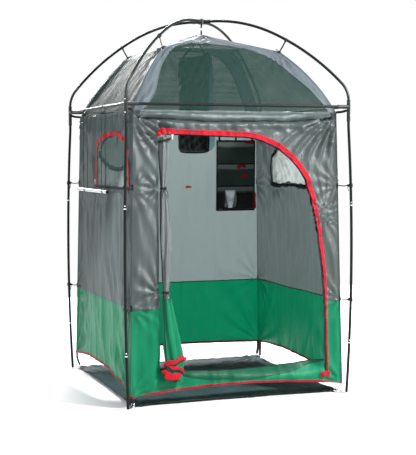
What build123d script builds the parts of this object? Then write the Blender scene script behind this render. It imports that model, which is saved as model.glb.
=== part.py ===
from build123d import *
import math
import os

# Privacy shower tent: a steel pole frame with a fabric cabin hung inside it.
# Millimetres, +Z up. The origin is on the ground, at the centre of the footprint.
# The door is on the -Y side, and "left" and "right" are as seen from outside it.

# ---- driving dimensions ----
FOOTPRINT = 1372.0          # outside width and depth, at the widest part of the legs
HEIGHT = 2210.0             # ground to the top of the crown

POLE_R = 8.0                # outside radius of every frame pole
POLE_BORE_R = 7.1
SPIGOT_R = 7.0              # reduced end that plugs into the next section
SPIGOT_BORE_R = 6.0
SPIGOT_LENGTH = 40.0
SHOULDER = 4.0              # thick ring between a section and its spigot

FOOT_R = 933.4              # leg centre line at the ground, from the tent's axis
LEG_TOP_R = 936.2           # and where it enters the corner fitting
LEG_BOW_RADIUS = 12500.0    # the bow of a leg
LEG_EASE_RADIUS = 800.0     # the short reverse bend that brings it upright
LEG_SPLITS = (6.0, 297.0, 1096.0)   # heights where the leg's sections start
LEG_TOP_Z = 1640.0

FOOT_BASE = LEG_SPLITS[0]
HOOK_R = 2.5                # wire of the hooks on the feet
HOOK_END_R = 872.0          # how far in a hook reaches
HOOK_BEND = 8.0
HOOK_HEIGHT = 26.0

FITTING_BOTTOM = 1578.0
FITTING_TOP = 1700.0
SLEEVE_R = 10.5             # sleeves of the corner fittings and the crown
SLEEVE_BORE_R = 8.2
SOCKET_LENGTH = 60.0
BAR_Z = 1661.0              # height of the top bars

BUTTON_R = 3.4
BUTTON_HOLE_R = 3.7
BUTTON_HEIGHTS = {"leg": 1614.0, "arch": 1685.0}
BUTTON_PROUD = 3.5

ARCH_Z = 2192.0             # centre line of the arches at the crown
ARCH_START_R = 56.0
ARCH_BENDS = ((928.0, 25.0), (1460.0, 21.0), (146.0, 44.0))  # radius and angle, crown to corner
ARCH_ELBOW_OVERLAP = 30.0

CROWN_R = 22.0
CROWN_SLEEVE_END = 58.0
RING_R, RING_WIRE_R = 13.0, 1.5
RING_Z = 2149.0

CLOTH = 2.0                 # thickness of the wall and roof panels
WALL_HALF_TOP, WALL_TOP = 608.0, 1630.0
WALL_HALF_LOW, WALL_LOW = 640.0, 60.0
SEAM_GAP = 0.3
HEM_FRONT_CORNER, HEM_BACK_CORNER = 60.0, 110.0
HEM_MIDDLE = {"front": 98.0, "left": 150.0, "back": 122.0, "right": 128.0}

ROOF_PEAK = 2114.0
HIP_TIE_HALF, HIP_TIE_Z = 360.0, 1992.0   # where the hip ties pull the roof out
HIP_BULGE_HALF, HIP_BULGE_Z = 500.0, 1829.0
HIP_BAND = 70.0

DOOR_LEFT = -470.0          # the door opening, in the front wall's own plane
DOOR_TOP_LEFT, DOOR_TOP_RIGHT = 1507.0, 1491.0
SILL_ENDS, SILL_MIDDLE = 200.0, 172.0
DOOR_ARC_START = (30.0, DOOR_TOP_RIGHT)
DOOR_ARC_MIDDLE = (273.0, 1407.0)
DOOR_ARC_END = (417.0, 1245.0)
DOOR_SIDE_MIDDLE = (497.0, 895.0)
DOOR_SIDE_END = (531.0, 440.0)
FLAP_WIDTH = 28.0           # cloth flap over the door's zip
FLAP_LOW = 118.0

# The rolled door: height, x, distance off the wall, half-width and half-depth of each section.
ROLL_SHAPE = (
    (1484.0, -430.0, 0.0, 34.0, 22.0),
    (1380.0, -436.0, 0.0, 30.0, 24.0),
    (1235.0, -440.0, 0.0, 18.0, 18.0),
    (1203.0, -441.0, 0.0, 14.0, 14.0),
    (1170.0, -440.0, 2.0, 22.0, 18.0),
    (930.0, -432.0, 8.0, 34.0, 24.0),
    (680.0, -436.0, 10.0, 22.0, 20.0),
    (632.0, -438.0, 12.0, 15.0, 15.0),
    (585.0, -432.0, 14.0, 28.0, 18.0),
    (400.0, -412.0, 20.0, 48.0, 20.0),
    (260.0, -396.0, 23.0, 56.0, 20.0),
    (140.0, -400.0, 22.0, 50.0, 18.0),
)
DOOR_TIE_ROWS = (3, 7)
DOOR_TIE_WIDTH = 7.0

WINDOW_BOTTOM, WINDOW_TOP = 1200.0, 1508.0
WINDOW_WIDTH = 750.0
WINDOW_CORNER_R = 170.0
WINDOW_BACK = {"left": 185.0, "right": 300.0}  # each window's rear edge, along Y

SLIDER_STANDOFF = 0.5
DOOR_SLIDER_X = -386.0
SLIDER_FROM_EDGE = 9.0
WINDOW_SLIDER_Z = 1235.0

TOWEL_X = -662.0
TOWEL_Z = 1175.0
TOWEL_FRONT, TOWEL_REAR = -255.0, 436.0
TOWEL_R, TOWEL_BORE_R = 9.5, 8.5
TOWEL_STRAPS = (-170.0, 260.0)
STRAP_PLY = 1.6
STRAP_WIDTH = 10.0

TIE_R = 3.0
POLE_TIE_HEIGHTS = (550.0, 1210.0)
ROOF_TIE_ARCH = (545.0, 2047.0)     # radius and height of a roof tie's top
ROOF_TIE_HIP = (513.0, 1998.0)

ORGANIZER_LEFT, ORGANIZER_RIGHT = 322.0, 598.0
ORGANIZER_BOTTOM, ORGANIZER_TOP = 1018.0, 1482.0
POCKET_SKIN = 1.5
SHALLOW_POCKET, DEEP_POCKET = 12.0, 46.0
POCKETS = (                 # bottom, top and depth
    (1030.0, 1145.0, DEEP_POCKET),
    (1178.0, 1292.0, SHALLOW_POCKET),
    (1328.0, 1442.0, SHALLOW_POCKET),
)
POCKET_INSET = 3.0          # from the organizer's edge to a pocket's side

BOTTLE_X = 412.0
BOTTLE_LOW, BOTTLE_HIGH = 1034.0, 1152.0
BOTTLE_CAP_LENGTH = 22.0
BOTTLE_FROM_FACE = 17.0     # off the front of the shallow pockets
TOGGLE_X, TOGGLE_Z = 120.0, 1176.0

BAG_X = -30.0
BAG_BOTTOM, BAG_TOP = 1402.0, 1985.0
BAG_WIDTH, BAG_DEPTH = 360.0, 90.0
BAG_TURN = 10.0             # turn of the bag about the vertical, degrees
BAG_HANG_Z = 2090.0         # the pin that the bag swings on
BAG_PIN_R, BAG_EYE_R, BAG_EYE_BORE_R = 3.0, 7.0, 3.6
BAG_EYE_HALF = 4.0          # half-width of the tab's eye
BAG_CHEEK_IN, BAG_CHEEK_OUT = 5.0, 9.0   # the hanger's two cheeks, beside the eye

FLOOR_HALF = 600.0

CORNERS = {
    "front_left": (-1, -1),
    "front_right": (1, -1),
    "back_left": (-1, 1),
    "back_right": (1, 1),
}
SIDES = {"front": 0, "right": 90, "back": 180, "left": 270}   # turn about Z from the front

os.makedirs("parts", exist_ok=True)


def save(part, name):
    """Label a finished piece and write it under its node's name."""
    part.label = name
    export_step(part, f"parts/{name}.step")
    return part


def corner_plane(corner):
    """Upright plane through a corner: local x runs outward, local y is up."""
    sx, sy = CORNERS[corner]
    return Plane(origin=(0, 0, 0), x_dir=(sx, sy, 0), z_dir=(sy, -sx, 0))


def corner_half(radius):
    """Half-width across the flats of a point at this radius on the diagonal."""
    return radius / math.sqrt(2)


WALL_SLOPE = (WALL_HALF_LOW - WALL_HALF_TOP) / (WALL_TOP - WALL_LOW)
WALL_TILT = math.degrees(math.atan(WALL_SLOPE))


def wall_half(z):
    """Half-width of the cabin at a height."""
    return WALL_HALF_LOW - (z - WALL_LOW) * WALL_SLOPE


def wall_plane(side, outward=0.0):
    """A wall's outer face: local x runs along it, local y up it, z outward."""
    turn = math.radians(SIDES[side])
    along = (math.cos(turn), math.sin(turn), 0)
    out = (math.sin(turn), -math.cos(turn), 0)
    half = wall_half(0)
    tilt = math.radians(WALL_TILT)
    normal = (out[0] * math.cos(tilt), out[1] * math.cos(tilt), math.sin(tilt))
    face = Plane(origin=(out[0] * half, out[1] * half, 0), x_dir=along, z_dir=normal)
    return face.offset(outward)


# ---- legs: four, each in three sections that plug together ----
LEG_PEAK_R = FOOTPRINT / 2 * math.sqrt(2) - POLE_R * math.sqrt(2)
BOW_CENTRE_R = LEG_PEAK_R - LEG_BOW_RADIUS
BOW_FOOT_ANGLE = math.acos((FOOT_R - BOW_CENTRE_R) / LEG_BOW_RADIUS)
BOW_CENTRE_Z = LEG_BOW_RADIUS * math.sin(BOW_FOOT_ANGLE)
BOW_TOP_ANGLE = math.acos(1 - (LEG_PEAK_R - LEG_TOP_R) / (LEG_BOW_RADIUS + LEG_EASE_RADIUS))
BOW_END_Z = BOW_CENTRE_Z + LEG_BOW_RADIUS * math.sin(BOW_TOP_ANGLE)
LEG_UPRIGHT_Z = BOW_END_Z + LEG_EASE_RADIUS * math.sin(BOW_TOP_ANGLE)


def bow_point(z):
    """A point of the leg's centre line, in its corner's plane."""
    rise = z - BOW_CENTRE_Z
    return (BOW_CENTRE_R + math.sqrt(LEG_BOW_RADIUS**2 - rise**2), z)


def bow_tube(corner, low, high, outer, bore):
    """A length of tube along the bowed part of a leg."""
    with BuildPart() as tube:
        with BuildLine(corner_plane(corner)) as path:
            ThreePointArc(bow_point(low), bow_point((low + high) / 2), bow_point(high))
        with BuildSketch(Plane(origin=path.line @ 0, z_dir=path.line % 0)):
            Circle(outer)
            Circle(bore, mode=Mode.SUBTRACT)
        sweep(path=path.line)
    return tube.part


def leg_section(corner, low, high, name):
    """A bowed section with its shoulder and spigot."""
    with BuildPart() as section:
        add(bow_tube(corner, low, high - SHOULDER, POLE_R, POLE_BORE_R))
        add(bow_tube(corner, high - SHOULDER, high, POLE_R, SPIGOT_BORE_R))
        add(bow_tube(corner, high, high + SPIGOT_LENGTH, SPIGOT_R, SPIGOT_BORE_R))
    return save(section.part, name)


def leg_upper(corner):
    """The top section: it bows, turns upright and ends inside the corner fitting."""
    ease_centre_r = LEG_TOP_R + LEG_EASE_RADIUS
    half_angle = BOW_TOP_ANGLE / 2
    with BuildPart() as section:
        with BuildLine(corner_plane(corner)) as path:
            low, high = LEG_SPLITS[2], BOW_END_Z
            ThreePointArc(bow_point(low), bow_point((low + high) / 2), bow_point(high))
            ThreePointArc(
                bow_point(high),
                (
                    ease_centre_r - LEG_EASE_RADIUS * math.cos(half_angle),
                    LEG_UPRIGHT_Z - LEG_EASE_RADIUS * math.sin(half_angle),
                ),
                (LEG_TOP_R, LEG_UPRIGHT_Z),
            )
            Line((LEG_TOP_R, LEG_UPRIGHT_Z), (LEG_TOP_R, LEG_TOP_Z))
        with BuildSketch(Plane(origin=path.line @ 0, z_dir=path.line % 0)):
            Circle(POLE_R)
            Circle(POLE_BORE_R, mode=Mode.SUBTRACT)
        sweep(path=path.line)
        drill_button_hole(corner, BUTTON_HEIGHTS["leg"])
    return save(section.part, f"leg_upper_{corner}")


def button_plane(corner, z, radius):
    """Plane across a snap button's axis, facing outward from the corner."""
    sx, sy = CORNERS[corner]
    side = corner_half(radius)
    return Plane(origin=(sx * side, sy * side, z), z_dir=(sx, sy, 0))


def drill_button_hole(corner, z):
    """Cut the outward hole for a snap button in the part being built."""
    with BuildSketch(button_plane(corner, z, LEG_TOP_R)) as hole:
        Circle(BUTTON_HOLE_R)
    extrude(hole.sketch, amount=2 * SLEEVE_R, mode=Mode.SUBTRACT)


# ---- corner fittings: an upright sleeve with two bar sockets ----
def corner_fitting(corner):
    sx, sy = CORNERS[corner]
    half = corner_half(LEG_TOP_R)
    with BuildPart() as fitting:
        with BuildSketch(Plane((sx * half, sy * half, FITTING_BOTTOM))):
            Circle(SLEEVE_R)
        extrude(amount=FITTING_TOP - FITTING_BOTTOM)
        for direction in ((-sx, 0, 0), (0, -sy, 0)):
            with BuildSketch(Plane((sx * half, sy * half, BAR_Z), z_dir=direction)):
                Circle(SLEEVE_R)
            extrude(amount=SLEEVE_R + SOCKET_LENGTH)
        for direction in ((-sx, 0, 0), (0, -sy, 0)):
            socket = Plane((sx * half, sy * half, BAR_Z), z_dir=direction)
            with BuildSketch(socket.offset(SLEEVE_R + 2)):
                Circle(SLEEVE_BORE_R)
            extrude(amount=SOCKET_LENGTH, mode=Mode.SUBTRACT)
        with BuildSketch(Plane((sx * half, sy * half, FITTING_BOTTOM))):
            Circle(SLEEVE_BORE_R)
        extrude(amount=FITTING_TOP - FITTING_BOTTOM, mode=Mode.SUBTRACT)
        for z in BUTTON_HEIGHTS.values():
            drill_button_hole(corner, z)
    return save(fitting.part, f"corner_fitting_{corner}")


# ---- snap buttons: a domed pin with a retaining flange inside the pole ----
def snap_button(corner, which):
    start = 0.5
    flange = 2.5
    tip = SLEEVE_R + BUTTON_PROUD
    with BuildPart() as button:
        with BuildSketch(button_plane(corner, BUTTON_HEIGHTS[which], LEG_TOP_R + start)):
            Circle(BUTTON_R + 1.1)
        extrude(amount=flange)
        with BuildSketch(button_plane(corner, BUTTON_HEIGHTS[which], LEG_TOP_R + start)):
            Circle(BUTTON_R)
        extrude(amount=tip - start)
        sx, sy = CORNERS[corner]
        dome = button.edges().sort_by(Axis((0, 0, 0), (sx, sy, 0)))[-1]
        fillet(dome, BUTTON_R * 0.7)
    return save(button.part, f"button_{which}_{corner}")


# ---- top bars ----
def top_bar(side):
    half = corner_half(LEG_TOP_R)
    length = 2 * (half - SLEEVE_R - 4)
    turn = math.radians(SIDES[side])
    along = (math.cos(turn), math.sin(turn), 0)
    middle = (math.sin(turn) * half, -math.cos(turn) * half, BAR_Z)
    with BuildPart() as bar:
        with BuildSketch(Plane(middle, z_dir=along)):
            Circle(POLE_R)
            Circle(POLE_BORE_R, mode=Mode.SUBTRACT)
        extrude(amount=length / 2, both=True)
    return save(bar.part, f"top_bar_{side}")


# ---- roof arches: each bends down from the crown, and a short elbow meets the corner ----
def arch_points():
    """Ends of the arch's three bends, with the slope at each, from the crown outward."""
    r, z, slope = ARCH_START_R, ARCH_Z, 0.0
    ends = [(r, z, slope)]
    for radius, angle in ARCH_BENDS:
        new = slope + math.radians(angle)
        r += radius * (math.sin(new) - math.sin(slope))
        z -= radius * (math.cos(slope) - math.cos(new))
        slope = new
        ends.append((r, z, slope))
    return ends


ARCH_ENDS = arch_points()
# The last bend ends upright over the leg; this shift takes up its rounding.
ARCH_SHIFT = LEG_TOP_R - ARCH_ENDS[3][0]


def arch_bend(index, from_share=0.0, to_share=1.0):
    """Three points of a bend, from and to a share of its angle."""
    radius = ARCH_BENDS[index][0]
    r0, z0, slope0 = ARCH_ENDS[index]
    sweep_angle = ARCH_ENDS[index + 1][2] - slope0
    points = []
    for share in (from_share, (from_share + to_share) / 2, to_share):
        slope = slope0 + sweep_angle * share
        points.append((
            r0 + ARCH_SHIFT + radius * (math.sin(slope) - math.sin(slope0)),
            z0 - radius * (math.cos(slope0) - math.cos(slope)),
        ))
    return points


JOIN_SHARE = 1 - ARCH_ELBOW_OVERLAP / (ARCH_BENDS[1][0] * math.radians(ARCH_BENDS[1][1]))


def arch(corner):
    with BuildPart() as tube:
        with BuildLine(corner_plane(corner)) as path:
            first = arch_bend(0)
            Line((CROWN_R + 3, ARCH_Z), first[0])
            ThreePointArc(*first)
            ThreePointArc(*arch_bend(1, 0.0, JOIN_SHARE))
        with BuildSketch(Plane(origin=path.line @ 0, z_dir=path.line % 0)):
            Circle(POLE_R)
            Circle(POLE_BORE_R, mode=Mode.SUBTRACT)
        sweep(path=path.line)
    return save(tube.part, f"arch_{corner}")


def arch_elbow(corner):
    """The bent end of an arch, with the spigot that plugs up into the arch."""
    spigot_share = JOIN_SHARE - SPIGOT_LENGTH / (ARCH_BENDS[1][0] * math.radians(ARCH_BENDS[1][1]))
    with BuildPart() as elbow:
        with BuildLine(corner_plane(corner)) as path:
            ThreePointArc(*arch_bend(1, JOIN_SHARE, 1.0))
            last = arch_bend(2)
            ThreePointArc(*last)
            Line(last[2], (LEG_TOP_R, LEG_TOP_Z + 6))
        with BuildSketch(Plane(origin=path.line @ 0, z_dir=path.line % 0)):
            Circle(POLE_R)
            Circle(SPIGOT_BORE_R, mode=Mode.SUBTRACT)
        sweep(path=path.line)
        with BuildLine(corner_plane(corner)) as spigot_path:
            ThreePointArc(*arch_bend(1, spigot_share, JOIN_SHARE))
        with BuildSketch(Plane(origin=spigot_path.line @ 0, z_dir=spigot_path.line % 0)):
            Circle(SPIGOT_R)
            Circle(SPIGOT_BORE_R, mode=Mode.SUBTRACT)
        sweep(path=spigot_path.line)
        drill_button_hole(corner, BUTTON_HEIGHTS["arch"])
    return elbow.part


def arch_elbows():
    with BuildPart() as elbows:
        for corner in CORNERS:
            add(arch_elbow(corner))
    return save(elbows.part, "arch_elbows")


# ---- crown hub with its clip, and the ring that hangs from the clip ----
def crown_hub():
    body_low, body_high = ARCH_Z - 14, ARCH_Z + 14
    clip_low = RING_Z + 7
    with BuildPart() as hub:
        with BuildSketch(Plane.XY.offset(body_low)):
            Circle(CROWN_R)
        extrude(amount=body_high - body_low)
        fillet(hub.edges().sort_by(Axis.Z)[-1], 3)
        with BuildSketch(Plane.XY.offset(body_high - 1)):
            Circle(9)
        extrude(amount=HEIGHT - body_high + 1)
        for sx, sy in CORNERS.values():
            with BuildSketch(Plane((0, 0, ARCH_Z), z_dir=(sx, sy, 0)).offset(CROWN_R - 6)):
                Circle(SLEEVE_R)
            extrude(amount=CROWN_SLEEVE_END - CROWN_R + 6)
        for sx, sy in CORNERS.values():
            with BuildSketch(Plane((0, 0, ARCH_Z), z_dir=(sx, sy, 0)).offset(CROWN_R + 1)):
                Circle(SLEEVE_BORE_R)
            extrude(amount=CROWN_SLEEVE_END, mode=Mode.SUBTRACT)
        with BuildSketch(Plane.XY.offset(clip_low)):
            RectangleRounded(8, 16, 2)
        extrude(amount=body_low - clip_low + 1)
        with BuildSketch(Plane((0, 0, RING_Z + RING_R), z_dir=(1, 0, 0))):
            Circle(4)
        extrude(amount=10, both=True, mode=Mode.SUBTRACT)
    return save(hub.part, "crown_hub")


def crown_ring():
    with BuildPart() as ring:
        with BuildSketch(Plane.XY.offset(RING_Z)):
            with Locations((RING_R, 0)):
                Circle(RING_WIRE_R)
        revolve(axis=Axis((0, 0, RING_Z), (0, 1, 0)))
    return save(ring.part, "crown_ring")


# ---- feet: a base under each leg with a plug up the pole and a J-shaped hook inward ----


def foot_hook(corner):
    sx, sy = CORNERS[corner]
    half = corner_half(FOOT_R)
    lift = HOOK_R + 0.5
    base_top = FOOT_BASE - 0.9      # the leg stands a little askew over it
    with BuildPart() as foot:
        with BuildSketch(Plane((sx * half, sy * half, 0))):
            Circle(POLE_R + 1)
        extrude(amount=base_top)
        with BuildSketch(Plane((sx * half, sy * half, base_top))):
            Circle(POLE_BORE_R - 1)
        extrude(amount=8)
        with BuildLine(corner_plane(corner)) as path:
            Line((FOOT_R, lift), (HOOK_END_R + HOOK_BEND, lift))
            bend = math.radians(45)
            ThreePointArc(
                (HOOK_END_R + HOOK_BEND, lift),
                (HOOK_END_R + HOOK_BEND * (1 - math.sin(bend)), lift + HOOK_BEND * (1 - math.cos(bend))),
                (HOOK_END_R, lift + HOOK_BEND),
            )
            Line((HOOK_END_R, lift + HOOK_BEND), (HOOK_END_R, HOOK_HEIGHT))
        with BuildSketch(Plane(origin=path.line @ 0, z_dir=path.line % 0)):
            Circle(HOOK_R)
        sweep(path=path.line)
    return foot.part


def foot_hooks():
    with BuildPart() as feet:
        for corner in CORNERS:
            add(foot_hook(corner))
    return save(feet.part, "foot_hooks")


# ---- cabin walls: thin tapered panels with an arched hem ----
def hem_corners(side):
    """Heights of a wall's hem at its local -x and +x ends."""
    ends = {
        "front": (HEM_FRONT_CORNER, HEM_FRONT_CORNER),
        "right": (HEM_FRONT_CORNER, HEM_BACK_CORNER),
        "back": (HEM_BACK_CORNER, HEM_BACK_CORNER),
        "left": (HEM_BACK_CORNER, HEM_FRONT_CORNER),
    }
    return ends[side]


def wall_edges(side):
    """A wall's outline in its own plane; the side walls sit between front and back."""
    trim = CLOTH + SEAM_GAP if side in ("left", "right") else 0.0
    start_z, end_z = hem_corners(side)
    left_low = (-(wall_half(start_z) - trim), start_z)
    right_low = (wall_half(end_z) - trim, end_z)
    left_top = (-(WALL_HALF_TOP - trim), WALL_TOP)
    right_top = (WALL_HALF_TOP - trim, WALL_TOP)
    with BuildLine(Plane.XY, mode=Mode.PRIVATE) as edge:
        ThreePointArc(left_low, (0, HEM_MIDDLE[side]), right_low)
        Polyline(right_low, right_top, left_top, left_low)
    return edge.edges()


def window_edges(side, shrink=0.0):
    """An arched window's outline: square at the sill, round at both top corners."""
    toward_front = 1 if side == "left" else -1
    rear = -WINDOW_BACK[side] * toward_front
    middle = rear + toward_front * WINDOW_WIDTH / 2
    low, high = WINDOW_BOTTOM + shrink, WINDOW_TOP - shrink
    left, right = middle - WINDOW_WIDTH / 2 + shrink, middle + WINDOW_WIDTH / 2 - shrink
    radius = WINDOW_CORNER_R - shrink
    turn = radius * (1 - math.sqrt(0.5))
    with BuildLine(Plane.XY, mode=Mode.PRIVATE) as edge:
        Polyline((left, high - radius), (left, low), (right, low), (right, high - radius))
        ThreePointArc((right, high - radius), (right - turn, high - turn), (right - radius, high))
        Line((right - radius, high), (left + radius, high))
        ThreePointArc((left + radius, high), (left + turn, high - turn), (left, high - radius))
    return edge.edges()


def plain_wall(side):
    with BuildPart() as wall:
        with BuildSketch(wall_plane(side)):
            make_face(wall_edges(side))
            if side in WINDOW_BACK:
                make_face(window_edges(side), mode=Mode.SUBTRACT)
        extrude(amount=-CLOTH)
    return save(wall.part, f"wall_{side}")


def window_panels():
    """The mesh panels that fill both window openings."""
    with BuildPart() as panels:
        for side in WINDOW_BACK:
            with BuildSketch(wall_plane(side, outward=-SEAM_GAP)):
                make_face(window_edges(side, SEAM_GAP))
            extrude(amount=-(CLOTH - 2 * SEAM_GAP))
    return save(panels.part, "window_panels")


# ---- door: a D-shaped opening in the front wall, round at its upper right ----


def door_edges(grow=0.0, low=SILL_ENDS):
    """The opening's outline, moved outward by grow along its top and right side."""
    start = (DOOR_ARC_START[0] + grow * 0.1, DOOR_ARC_START[1] + grow)
    middle = (DOOR_ARC_MIDDLE[0] + grow * 0.56, DOOR_ARC_MIDDLE[1] + grow * 0.83)
    end = (DOOR_ARC_END[0] + grow * 0.89, DOOR_ARC_END[1] + grow * 0.45)
    side = (DOOR_SIDE_MIDDLE[0] + grow, DOOR_SIDE_MIDDLE[1])
    foot = (DOOR_SIDE_END[0] + grow, DOOR_SIDE_END[1])
    top_left = (DOOR_LEFT, DOOR_TOP_LEFT + grow)
    with BuildLine(Plane.XY, mode=Mode.PRIVATE) as edge:
        Line(top_left, start)
        ThreePointArc(start, middle, end)
        ThreePointArc(end, side, foot)
        Line(foot, (foot[0], low))
        if low == SILL_ENDS:
            ThreePointArc((foot[0], low), (30, SILL_MIDDLE), (DOOR_LEFT, low))
        else:
            Line((foot[0], low), (DOOR_LEFT, low))
        Line((DOOR_LEFT, low), top_left)
    return edge.edges()


def wall_front():
    """Front panel: header, two side strips and a low sill around the door opening."""
    with BuildPart() as wall:
        with BuildSketch(wall_plane("front")):
            make_face(wall_edges("front"))
            make_face(door_edges(), mode=Mode.SUBTRACT)
        extrude(amount=-CLOTH)
    return save(wall.part, "wall_front")


def door_flap():
    """The flap that covers the zip, standing on the outside of the front panel."""
    with BuildPart() as flap:
        with BuildSketch(wall_plane("front", outward=SEAM_GAP)):
            make_face(door_edges(FLAP_WIDTH, FLAP_LOW))
            make_face(door_edges(0.0, FLAP_LOW), mode=Mode.SUBTRACT)
        extrude(amount=CLOTH)
    return save(flap.part, "door_flap")


# The rolled door hangs at the hinge side, drawn in by its two ties.
# Each row: height, middle along X, outward shift of the middle, half-width, half-depth.


def door_roll():
    with BuildPart() as roll:
        for z, x, outward, half_width, half_depth in ROLL_SHAPE:
            with BuildSketch(Plane((x, -(wall_half(z) + outward), z))):
                Ellipse(half_width, half_depth)
        loft(ruled=True)
    return save(roll.part, "door_roll")


def door_ties():
    """Two cord loops round the roll."""
    with BuildPart() as ties:
        for row in DOOR_TIE_ROWS:
            z, x, outward, half_width, half_depth = ROLL_SHAPE[row]
            with BuildSketch(Plane((x, -(wall_half(z) + outward), z - DOOR_TIE_WIDTH / 2))):
                Ellipse(half_width + 4, half_depth + 4)
                Ellipse(half_width + 1.5, half_depth + 1.5, mode=Mode.SUBTRACT)
            extrude(amount=DOOR_TIE_WIDTH)
    return save(ties.part, "door_ties")


# ---- zip sliders ----
def zip_slider(plane, name):
    """A slider body with its pull tab, lying on a wall's outside face."""
    with BuildPart() as slider:
        with BuildSketch(plane):
            RectangleRounded(14, 9, 2)
        extrude(amount=4)
        with BuildSketch(plane.offset(1)):
            with Locations((0, -13)):
                RectangleRounded(8, 24, 3)
        extrude(amount=1.6)
    return save(slider.part, name)


def door_slider():
    run = DOOR_ARC_START[0] - DOOR_LEFT
    drop = math.degrees(math.atan((DOOR_TOP_LEFT - DOOR_TOP_RIGHT) / run))
    height = DOOR_TOP_LEFT - (DOOR_SLIDER_X - DOOR_LEFT) * math.tan(math.radians(drop))
    face = wall_plane("front", outward=SLIDER_STANDOFF)
    spot = face.from_local_coords((DOOR_SLIDER_X, height - SLIDER_FROM_EDGE, 0))
    place = Plane(origin=spot, x_dir=face.x_dir, z_dir=face.z_dir).rotated((0, 0, -drop))
    return zip_slider(place, "door_slider")


def window_slider(side):
    toward_front = 1 if side == "left" else -1
    face = wall_plane(side, outward=SLIDER_STANDOFF)
    across = -(WINDOW_BACK[side] + SLIDER_FROM_EDGE) * toward_front
    spot = face.from_local_coords((across, WINDOW_SLIDER_Z, 0))
    place = Plane(origin=spot, x_dir=face.x_dir, z_dir=face.z_dir)
    return zip_slider(place, f"window_slider_{side}")


# ---- roof: a four-sided dome of mesh with cloth bands along its hips ----
def roof_profile():
    """Section of one roof side, from the wall top to the peak: local x outward, y up."""
    base = (WALL_HALF_TOP, WALL_TOP + SEAM_GAP)
    bulge = (HIP_BULGE_HALF, HIP_BULGE_Z)
    tie = (HIP_TIE_HALF, HIP_TIE_Z)
    peak = (0, ROOF_PEAK)
    inner_base = (base[0] - CLOTH * 1.1, base[1])
    inner_bulge = (bulge[0] - CLOTH * 0.82, bulge[1] - CLOTH * 0.57)
    inner_tie = (tie[0] - CLOTH * 0.6, tie[1] - CLOTH)
    inner_peak = (0, ROOF_PEAK - CLOTH)
    with BuildLine(Plane.XY, mode=Mode.PRIVATE) as edge:
        ThreePointArc(base, bulge, tie)
        Polyline(tie, peak, inner_peak, inner_tie)
        ThreePointArc(inner_tie, inner_bulge, inner_base)
        Line(inner_base, base)
    return edge.edges()


def roof_wedge(inset):
    """Corners of one roof side's plan, at a distance inside its two hip lines."""
    reach = 2 * WALL_HALF_TOP
    return [(0, -inset), (reach - inset, -reach), (inset - reach, -reach)]


def roof_shell(side, near_band, far_band):
    """The part of one roof side between two distances inside its hip lines."""
    turn = math.radians(SIDES[side])
    out = (math.sin(turn), -math.cos(turn), 0)
    across = Plane((0, 0, 0), x_dir=out, z_dir=(out[1], -out[0], 0))
    plan = Plane((0, 0, 0), x_dir=(-out[1], out[0], 0), z_dir=(0, 0, 1))
    with BuildPart() as shell:
        with BuildSketch(across):
            make_face(roof_profile())
        extrude(amount=WALL_HALF_TOP + 5, both=True)
        with BuildSketch(plan):
            Polygon(*roof_wedge(near_band), align=None)
            if far_band is not None:
                Polygon(*roof_wedge(far_band), align=None, mode=Mode.SUBTRACT)
        extrude(amount=HEIGHT, mode=Mode.INTERSECT)
    return shell.part


def roof_mesh():
    with BuildPart() as mesh:
        for side in SIDES:
            add(roof_shell(side, HIP_BAND, None))
    return save(mesh.part, "roof_mesh")


def roof_hips():
    """The cloth bands, one along each hip, parted over the middle of each side."""
    with BuildPart() as hips:
        for side in SIDES:
            add(roof_shell(side, 0.0, HIP_BAND - SEAM_GAP))
        with BuildSketch(Plane.XY):
            Rectangle(4 * WALL_HALF_TOP, SEAM_GAP)
            Rectangle(SEAM_GAP, 4 * WALL_HALF_TOP)
        extrude(amount=HEIGHT, mode=Mode.SUBTRACT)
    return save(hips.part, "roof_hips")


# ---- webbing that joins the cloth to the frame ----


def bag_pin_plane():
    """Plane across the pin that the bag swings on: its normal is the pin's axis, local y is up."""
    turn = math.radians(BAG_TURN)
    return Plane((BAG_X, 0, BAG_HANG_Z), x_dir=(-math.cos(turn), -math.sin(turn), 0),
                 z_dir=(-math.sin(turn), math.cos(turn), 0))


def roof_ties():
    """Four ties from the arches to the hips, the loop from the peak to the crown ring,
    and the tab inside the peak that the shower bag hangs from."""
    loop_low, loop_high = ROOF_PEAK + 2, RING_Z - RING_R + 6
    with BuildPart() as ties:
        for corner in CORNERS:
            with BuildLine(corner_plane(corner)) as path:
                Line(ROOF_TIE_HIP, ROOF_TIE_ARCH)
            with BuildSketch(Plane(origin=path.line @ 0, z_dir=path.line % 0)):
                Circle(TIE_R)
            sweep(path=path.line)
        with BuildSketch(Plane.YZ.offset(-5)):
            with Locations((0, (loop_low + loop_high) / 2)):
                SlotOverall(loop_high - loop_low, 11, rotation=90)
                SlotOverall(loop_high - loop_low - 3, 8, rotation=90, mode=Mode.SUBTRACT)
        extrude(amount=10)
        with BuildSketch(bag_pin_plane()):
            with BuildLine():
                Polyline((-BAG_EYE_R, 0), (-BAG_EYE_R, 8.5), (BAG_EYE_R, 8.5), (BAG_EYE_R, 0), close=True)
            make_face()
            Circle(BAG_EYE_R)
            Circle(BAG_EYE_BORE_R, mode=Mode.SUBTRACT)
        extrude(amount=BAG_EYE_HALF, both=True)
    return save(ties.part, "roof_ties")


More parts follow.
